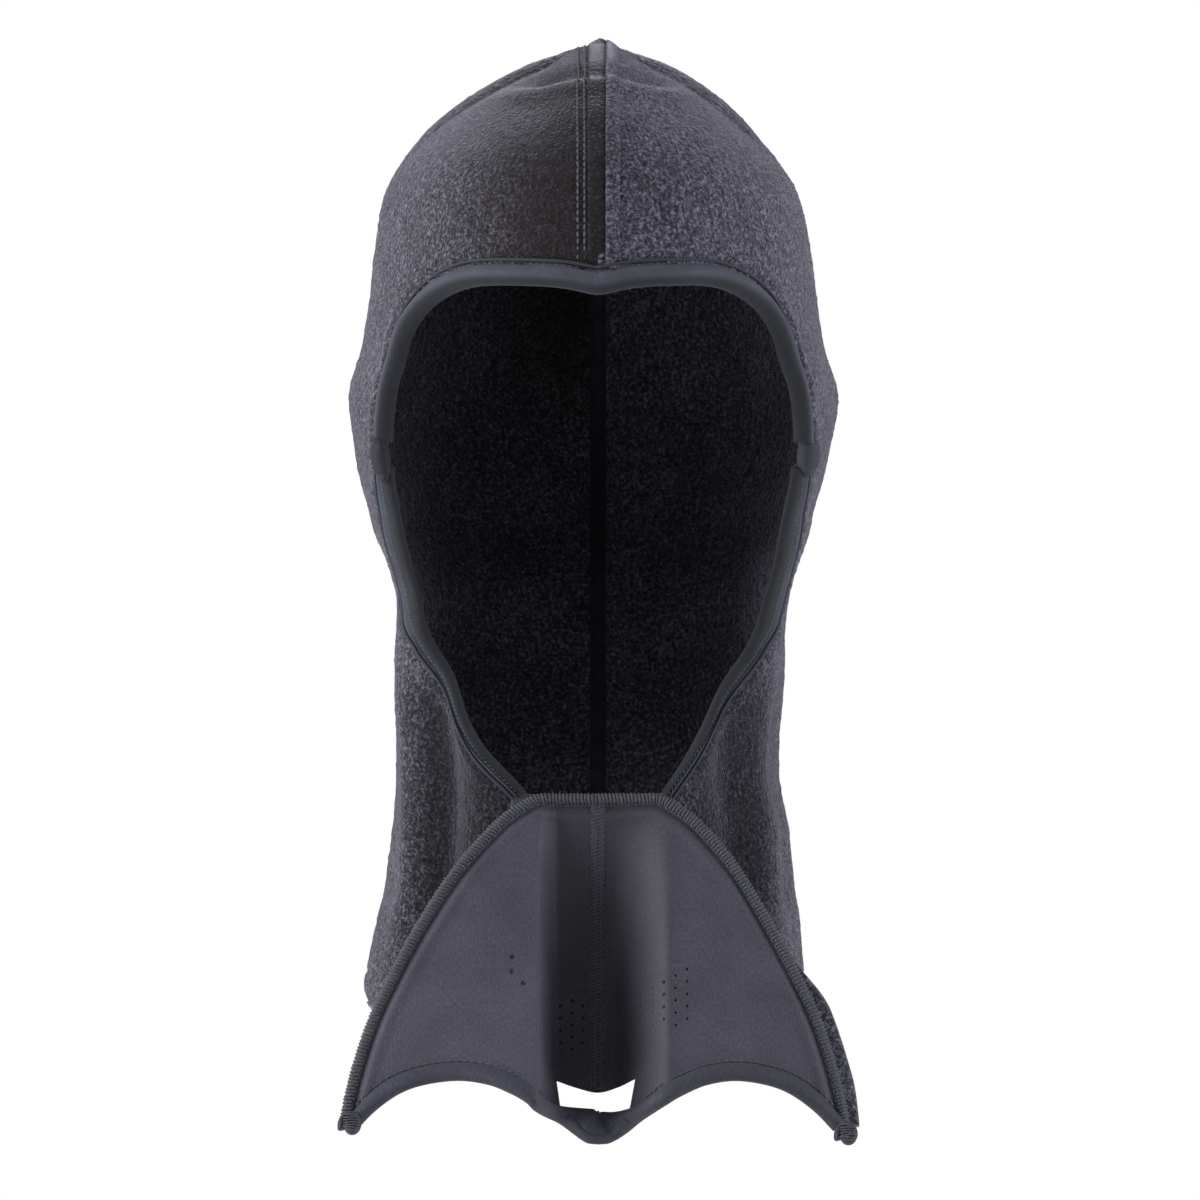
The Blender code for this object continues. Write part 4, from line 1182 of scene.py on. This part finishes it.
def mask_cloth(name, side):
    u, v = mask_grid(side)
    uv = np.stack([u, v], axis=-1)
    rim = wing_edge(np.linspace(0, EDGE_LENGTH - 0.002, 260), 0.0)
    far = np.full(u.shape, 1.0)
    for point in rim:
        far = np.minimum(far, np.hypot(abs(u) - point[0], v - point[1]))
    points = mask(u, v, 0.0006 * bump(far, 0.0062, 0.0018) - 0.0006 * bump(far, 0.0036, 0.0011))
    if side < 0:
        points, uv = points[:, ::-1], uv[:, ::-1]
    made = cloth(name, points, LAMINATE, MASK_CLOTH, uv)
    only(made)
    cutters = [nose_cutter()]
    for flat_points, radius, depth in ((HOLES, HOLE_RADIUS, 0.0080), (DIMPLES, DIMPLE_RADIUS, 0.0034)):
        mine = [point for point in flat_points if point[0] * side > 0.003]
        if mine:
            cutters.append(bores("breath_holes", mine, radius, depth))
    for cutter in cutters:
        keep(made, "BOOLEAN", operation="DIFFERENCE", solver="EXACT", object=cutter)
        bpy.data.objects.remove(cutter)
    made.data.shade_smooth()
    return made


mask_cloth_left = mask_cloth("mask_cloth_left", 1)
mask_cloth_right = mask_cloth("mask_cloth_right", -1)

# ---------------------------------------------------------------- centre seam of the mask

seam_v = np.linspace(0.0012, height_to_v(0.0, -0.3440), 150)


def mask_centre(x):
    def place(share, lift):
        return mask(np.full(np.shape(share), x), seam_v[0] + np.asarray(share) * (seam_v[-1] - seam_v[0]), lift)
    return place


centre_band = strip("mask_centre_seam_band", np.stack([
    mask(np.full(150, x), seam_v, lift) for x, lift in
    ((-0.0023, -0.0004), (-0.0020, 0.0003), (-0.0011, 0.0006), (-0.0002, 0.0004), (0.0, 0.0001), (0.0003, 0.0004),
     (0.0011, 0.0006), (0.0020, 0.0003), (0.0023, -0.0004), (0.0, -0.0012))], axis=1), HEM_CLOTH)
centre_rows = [
    row_of_stitches(f"mask_centre_stitching_{word}", mask_centre(x), 0.0022, SEWING, length=0.82, radius=0.00026,
                    arch=0.00026)
    for word, x in (("left", 0.0021), ("right", -0.0021))
]


def centre_crosses(share, lift):
    return mask_centre(0.0)(share, lift + 0.00045)


here, way, out, total = along_line(centre_crosses, 84)
across = np.cross(way, out)
across = unit(across) + 0.35 * unit(way)
cross_threads = sew("mask_centre_cross_threads", stitch_shape(0.0042, 0.00019, 0.00014), here, across,
                    unit(out), SEWING)

# ---------------------------------------------------------------- serged edge of the mask

SERGE_WIDE, SERGE_HIGH = 0.00170, 0.00165


def serging_line(side, far):
    middle = wing_edge(far, 0.0011)
    here = mask(side * middle[:, 0], middle[:, 1], -0.0004)
    out = mask(side * middle[:, 0], middle[:, 1], 0.0006) - here
    return here, unit(out)


edges = {}
for side, word in ((1, "left"), (-1, "right")):
    far = np.linspace(0.0, EDGE_LENGTH - 0.0030, 240)
    line, out = serging_line(side, far)
    core = strip(f"serged_edge_{word}", cord_rings(line, out, SERGE_WIDE - 0.0002, SERGE_HIGH - 0.0002, 14), SERGING)
    count = int((EDGE_LENGTH - 0.003) / 0.00118)
    at = np.linspace(0.0004, EDGE_LENGTH - 0.0032, count)
    line, out = serging_line(side, at)
    way = np.gradient(line, axis=0)
    lean = np.cross(out, unit(way))
    way = unit(way) + lean * (0.16 + random.normal(0, 0.05, (count, 1)))
    scale = np.stack([random.uniform(0.9, 1.2, count), random.uniform(0.97, 1.05, count),
                      random.uniform(0.96, 1.06, count)], axis=1)
    wraps = sew(f"serging_threads_{word}", wrap_shape(SERGE_WIDE, SERGE_HIGH, 0.00030), line, way, out, SERGING, scale)

    def needle_row(share, lift, side=side):
        place = wing_edge(0.001 + np.asarray(share) * (EDGE_LENGTH - 0.006), 0.00285)
        return mask(side * place[:, 0], place[:, 1], lift + 0.0001)

    needle = row_of_stitches(f"serging_needle_row_{word}", needle_row, 0.0026, SEWING, length=0.72, radius=0.00024,
                             arch=0.00022)
    edges[word] = [core, wraps, needle]

# ---------------------------------------------------------------- turned hem and nose bridge

foot_far = lengths(foot_line)


def hem_point(side, far, up, lift):
    """Points of the hem: far along the mask's lower edge from its middle, up into the cloth, and lift out of it."""
    def at(far):
        here = sampled(abs(far), foot_far, foot_line)
        return np.stack([np.sign(far) * here[..., 0], here[..., 1]], axis=-1)
    far = np.asarray(far, float)
    way = at(far + 0.004) - at(far - 0.004)
    way = unit(way)
    moved = at(far) + np.stack([-way[..., 1], way[..., 0]], axis=-1) * np.asarray(up)[..., None]
    return mask(side * moved[..., 0], v_at(side * moved[..., 0], moved[..., 1]), lift)


def hem_width(far):
    return 0.0062 + 0.0050 * (1 - smooth(far, 0.0055, 0.0200)) - 0.0010 * smooth(far, 0.072, 0.086)


HEM_SECTION = [
    (0.0, 0.0000, -0.0008), (0.0, 0.0001, 0.0006), (0.0, 0.0008, 0.0014), (0.30, 0.0, 0.0018), (0.55, 0.0, 0.0017),
    (0.78, 0.0, 0.0013), (0.92, 0.0, 0.0006), (1.0, 0.0, -0.0003), (0.97, 0.0, -0.0014), (0.80, 0.0, -0.0024),
    (0.45, 0.0, -0.0028), (0.15, 0.0, -0.0027), (0.0, 0.0003, -0.0019),
]
hems = {}
HEM_LENGTH = foot_far[-1]


def eased(vectors, far, reach):
    """Vectors averaged with their neighbours along a line, and made unit length."""
    weight = np.exp(-(((far[:, None] - far[None]) / reach) ** 2))
    mean = weight @ vectors / weight.sum(axis=1, keepdims=True)
    return unit(mean)


def hem_frame(side, far):
    """Points on the mask's lower edge, with steady directions up into the cloth and out of it."""
    whole = np.concatenate([-far[:0:-1], far])
    line = hem_point(side, whole, 0 * whole, -0.0008)
    weight = np.exp(-(((whole[:, None] - whole[None]) / 0.0042) ** 2))
    rounded = weight @ line / weight.sum(axis=1, keepdims=True)
    line = line + (rounded - line) * bump(abs(whole), 0.0215, 0.0090)[:, None]
    up = eased(hem_point(side, whole, 0 * whole + 0.005, -0.0008) - line, whole, 0.0068)
    out = eased(hem_point(side, whole, 0 * whole + 0.002, 0.0012) - hem_point(side, whole, 0 * whole + 0.002, 0.0),
                whole, 0.0068)
    out -= up * (out * up).sum(axis=1, keepdims=True)
    out = unit(out)
    part = slice(len(far) - 1, None)
    return line[part], up[part], out[part]


def joined(side, far):
    """The same for one side, led into the other side's at the middle so that the two meet without a step."""
    mine, other = hem_frame(side, far), hem_frame(-side, far)
    near = bump(far, 0.0, 0.010)[:, None]
    met = []
    for own, across in zip(mine, other):
        mean = (own[0] + across[0]) / 2
        mean[0] = 0.0
        met.append(own + (mean - own[0]) * near)
    return met


for side, word in ((1, "left"), (-1, "right")):
    far = np.linspace(0.0, HEM_LENGTH - 0.0005, 190)
    wide = hem_width(far)
    line, up, out = joined(side, far)
    swell = 0.0022 * bump(far, 0.0, 0.012)
    rings = np.stack([line + up * (wide * part + extra)[:, None]
                      + out * (lift + 0.0008 + swell * math.sin(math.pi * min(part * 0.8, 1)) * (lift > 0))[:, None]
                      for part, extra, lift in HEM_SECTION], axis=1)
    roll = strip(f"hem_roll_{word}", rings, HEM_CLOTH)

    def hem_row(share, lift, line=line, up=up, out=out, far=far):
        at = 0.0215 + np.asarray(share) * (HEM_LENGTH - 0.0275)
        inset = hem_width(far) + 0.0004
        row = line + up * inset[:, None] + out * (lift + 0.0013)
        return sampled(at, far, row)

    sewn = row_of_stitches(f"hem_stitching_{word}", hem_row, 0.0026, SEWING, length=0.78, radius=0.00026, arch=0.00018)
    hems[word] = [roll, sewn]

bridge_far = np.linspace(0.0, 0.0135, 30)
bridge_steps = np.linspace(0.0, 0.0300, 60)
bridge = {side: joined(side, bridge_steps) for side in (-1, 1)}


def bridge_line(up_by, lift):
    """A line across the nose bridge, from the wearer's right to the left."""
    halves = []
    for side in (-1, 1):
        line, up, out = bridge[side]
        row = line + up * up_by + out * (lift + 0.0008)
        halves.append(sampled(bridge_far, bridge_steps, row))
    return np.concatenate([halves[0][:0:-1], halves[1]])


bridge_fold = strip("nose_bridge_fold", np.stack([
    bridge_line(up_by, lift) for up_by, lift in
    ((0.0004, 0.0004), (0.0006, 0.0016), (0.0014, 0.0024), (0.0024, 0.0026), (0.0031, 0.0020), (0.0030, 0.0008))],
    axis=1), HEM_CLOTH)
tick_line, tick_up, tick_out = (part[0] for part in bridge[1])
tick_rise = np.linspace(0.0062, 0.0104, 12)[:, None]
bridge_tick = strip("nose_bridge_tick", np.stack([
    tick_line + np.array((x, 0, 0)) + tick_up * tick_rise + tick_out * lift
    for x, lift in ((-0.0005, 0.0026), (-0.0003, 0.0036), (0.0003, 0.0036), (0.0005, 0.0026))], axis=1), SEWING)

# ---------------------------------------------------------------- rolled corners, bar tacks and the brushed reverse

corners = {}
for side, word, x, z in ((1, "left", 0.0814, -0.3578), (-1, "right", -0.0806, -0.3545)):
    v = (FOLD_Z - z) / math.cos(TILT)
    centre = mask(np.array(side * 0.0795), np.array(v), 0.0004)
    centre[0], centre[2] = x, z
    turns = np.linspace(0, 1, 90)
    angle = side * (math.radians(200) - turns * math.radians(560))
    radius = 0.0034 - 0.0031 * turns
    line = (centre + np.outer(radius * np.cos(angle) * side, (1, 0, 0)) * side
            + np.outer(radius * 1.25 * np.sin(angle) * side, -DOWN_MASK))
    out = np.tile(OUT_OF_MASK, (90, 1))
    roll = strip(f"corner_roll_{word}", cord_rings(line, out, 0.00118 - 0.0002 * turns, 0.0021 + 0.0006 * turns, 12),
                 HEM_CLOTH)
    across = np.linspace(-1, 1, 7)
    places = centre + np.outer(across * 0.0026, DOWN_MASK) + OUT_OF_MASK * 0.0024
    ways = np.tile(np.array((1.0, 0, 0.0)), (7, 1)) + random.normal(0, 0.08, (7, 3))
    tack = sew(f"corner_bar_tack_{word}", stitch_shape(0.0052, 0.00030, 0.0005), places, ways,
               np.tile(OUT_OF_MASK, (7, 1)), SERGING)
    corners[word] = [roll, tack]

reverse_far = np.linspace(0.088, EDGE_LENGTH - 0.0035, 110)
reverse_wide = (0.0008 + 0.0048 * smooth(reverse_far, 0.088, 0.112)
                - 0.0012 * smooth(reverse_far, EDGE_LENGTH - 0.02, EDGE_LENGTH))


def reverse_row(part, lift):
    place = np.array([wing_edge(f, -w * part) for f, w in zip(reverse_far, reverse_wide)])
    return mask(place[:, 0], place[:, 1], lift)


reverse_roll = strip("brushed_reverse_edge", np.stack([
    reverse_row(part, lift) for part, lift in
    ((-0.3, -0.0012), (0.10, -0.0008), (0.45, -0.0006), (0.78, -0.0010), (0.96, -0.0021), (0.98, -0.0034),
     (0.80, -0.0044), (0.40, -0.0046), (-0.10, -0.0040), (-0.35, -0.0028))], axis=1), FLEECE_REVERSE)

# ---------------------------------------------------------------- cloth from the chin to the fold of the mask

TURN_ROWS, TURN_COLUMNS, TURN_CLOTH = 14, 60, 0.0012
turn_x = np.linspace(-1, 1, TURN_COLUMNS)
turn_rows = []
for t in np.linspace(0, 1, TURN_ROWS):
    from_chin = chin_point(turn_x * 0.0225, -0.0006 + 0 * turn_x, 0.0006)
    to_fold = mask(turn_x * 0.0172, 0.0006 + 0 * turn_x, -0.0014)
    turn_rows.append(from_chin * (1 - t) + to_fold * t - np.array((0, 0, 0.0012)) * math.sin(math.pi * t))
turn_uv = np.stack(np.meshgrid(np.linspace(0, 0.01, TURN_ROWS), np.linspace(0, 0.045, TURN_COLUMNS), indexing="ij"),
                   axis=-1)[..., ::-1]
chin_turn = cloth("chin_turn", np.stack(turn_rows)[:, ::-1], LAMINATE, TURN_CLOTH, turn_uv)

# ---------------------------------------------------------------- camera, light and floor


def lamp(name, size, power, place, target):
    light = bpy.data.lights.new(name, "AREA")
    light.shape, light.size, light.size_y, light.energy = "RECTANGLE", size[0], size[1], power
    made = placed(name, light)
    made.location = place
    made.rotation_euler = (Vector(target) - Vector(place)).to_track_quat("-Z", "Y").to_euler()
    return made


MIDDLE = (0.0, -0.02, -0.17)
SIDE_LAMP = (1.3, 2.0)
ROOM_LIGHT = 0.15  # what the white room gives the object; the camera sees it as 1
FLOOR_DROP, FLOOR_RADIUS, FLOOR_GLOW = 0.45, 1.3, 0.30
SENSOR = 36.0
VIEW_WIDTH, VIEW_DISTANCE = 0.396, 4.0  # how wide the picture is at this distance from the camera
lamp("side_light_left", SIDE_LAMP, 48.0, (1.85, -0.55, 0.10), MIDDLE)
lamp("side_light_right", SIDE_LAMP, 74.0, (-1.85, -0.55, 0.10), MIDDLE)
lamp("top_light", (1.2, 1.2), 10.0, (0.0, -0.2, 1.9), MIDDLE)
world = bpy.data.worlds.new("studio_white")
bpy.context.scene.world = world
world.use_nodes = True
seen = world.node_tree.nodes.new("ShaderNodeLightPath")
bright = world.node_tree.nodes.new("ShaderNodeMapRange")
bright.inputs["To Min"].default_value, bright.inputs["To Max"].default_value = ROOM_LIGHT, 1.0
world.node_tree.links.new(seen.outputs["Is Camera Ray"], bright.inputs["Value"])
backdrop = world.node_tree.nodes["Background"]
backdrop.inputs["Color"].default_value = (1, 1, 1, 1)
world.node_tree.links.new(bright.outputs["Result"], backdrop.inputs["Strength"])
floor_finish = Finish("studio_floor")
floor_tone = floor_finish.noise(floor_finish.place, 3.0, 2.0, 0.5).tint((0.86, 0.86, 0.86), (0.90, 0.90, 0.90))
floor_finish.done(floor_tone, 0.8)
floor_look = floor_finish.material.node_tree
floor_seen = floor_look.nodes.new("ShaderNodeLightPath")
floor_shader = floor_finish.surface
floor_shader.inputs["Emission Strength"].default_value = FLOOR_GLOW
floor_look.links.new(floor_seen.outputs["Is Camera Ray"], floor_shader.inputs["Emission Color"])
bpy.ops.object.select_all(action="DESELECT")
bpy.ops.mesh.primitive_circle_add(vertices=96, radius=FLOOR_RADIUS, fill_type="NGON", location=(0, 0, -FLOOR_DROP))
floor = bpy.context.active_object
floor.name = "studio_floor"
floor.data.materials.append(floor_finish.material)
camera = placed("camera", bpy.data.cameras.new("camera"))
camera.location = (0.00066, -4.06, -0.1832)
camera.rotation_euler = (math.radians(90), 0, 0)
camera.data.sensor_width = SENSOR
camera.data.lens = SENSOR * VIEW_DISTANCE / VIEW_WIDTH
camera.data.clip_end = 100
bpy.context.scene.camera = camera
bpy.context.scene.view_settings.view_transform = "Standard"

# ---------------------------------------------------------------- what moves, and what stands for what

ROOT = "hood"
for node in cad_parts.values():
    node.hide_render = True
    node.hide_set(True)

stands = {
    hood_fleece_left: ["hood_panel_left"], hood_fleece_right: ["hood_panel_right"],
    seam_allowance: ["crown_seam_welt"], seam_fold: ["crown_seam_welt"], inside_ridge: ["crown_seam_welt"],
    crown_stitches_outer: ["crown_stitches_outer"], crown_stitches_inner: ["crown_stitches_inner"],
    throat_seam: ["throat_seam_welt"], neck_hem: ["neck_hem_stitches"], neck_stitches: ["neck_hem_stitches"],
    brow_binding: ["brow_binding"], brow_stitches: ["brow_stitches"], brow_ridge: ["brow_binding"],
    tab_left: ["temple_tab_left"], tab_right: ["temple_tab_right"], chin_binding: ["chin_binding"],
    cheeks["left"][0]: ["cheek_binding_left"], cheeks["left"][1]: ["cheek_binding_left"],
    cheeks["left"][2]: ["cheek_stitches_left"], cheeks["right"][0]: ["cheek_binding_right"],
    cheeks["right"][1]: ["cheek_binding_right"], cheeks["right"][2]: ["cheek_stitches_right"],
}
for made, names in stands.items():
    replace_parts(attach(made, ROOT), *names)
for made in (centre_band, *centre_rows, cross_threads):
    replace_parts(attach(made, "mask"), "mask_centre_seam", "mask_seam_stitches_left", "mask_seam_stitches_right")
for made in (bridge_fold, bridge_tick):
    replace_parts(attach(made, "mask"), "nose_bridge_band")
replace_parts(chin_turn, "chin_binding", "mask_fold_overlock")
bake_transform(chin_turn)
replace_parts(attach(reverse_roll, "wing_left"), "mask_wing_left", "wing_overlock_left")
for word, made in corners.items():
    for part in made:
        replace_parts(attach(part, f"wing_{word}"), f"corner_tack_{word}")
for side, word in ((1, "left"), (-1, "right")):
    cloth_half = mask_cloth_left if side > 0 else mask_cloth_right
    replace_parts(cloth_half, f"mask_middle_{word}", f"mask_wing_{word}")
    for made in edges[word]:
        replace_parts(made, f"wing_overlock_{word}", "mask_fold_overlock")
    for made in hems[word]:
        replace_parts(made, f"wing_hem_{word}", f"wing_hem_stitches_{word}", "nose_bridge_band")
    for made in (cloth_half, *edges[word], *hems[word]):
        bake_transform(made)

slots = {
    "fleece": (seam_allowance, seam_fold, neck_hem, throat_seam, reverse_roll),
    "jersey": (brow_binding, brow_ridge, tab_left, tab_right, chin_binding, inside_ridge,
               *cheeks["left"][:2], *cheeks["right"][:2]),
    "laminate": (centre_band, bridge_fold, hems["left"][0], hems["right"][0], corners["left"][0], corners["right"][0]),
    "serging": (*edges["left"][:2], *edges["right"][:2]),
    "thread": (crown_stitches_outer, crown_stitches_inner, neck_stitches, brow_stitches, cheeks["left"][2],
               cheeks["right"][2], *centre_rows, cross_threads, bridge_tick, edges["left"][2], edges["right"][2],
               hems["left"][1], hems["right"][1], corners["left"][1], corners["right"][1]),
}
for slot, pieces in slots.items():
    for made in pieces:
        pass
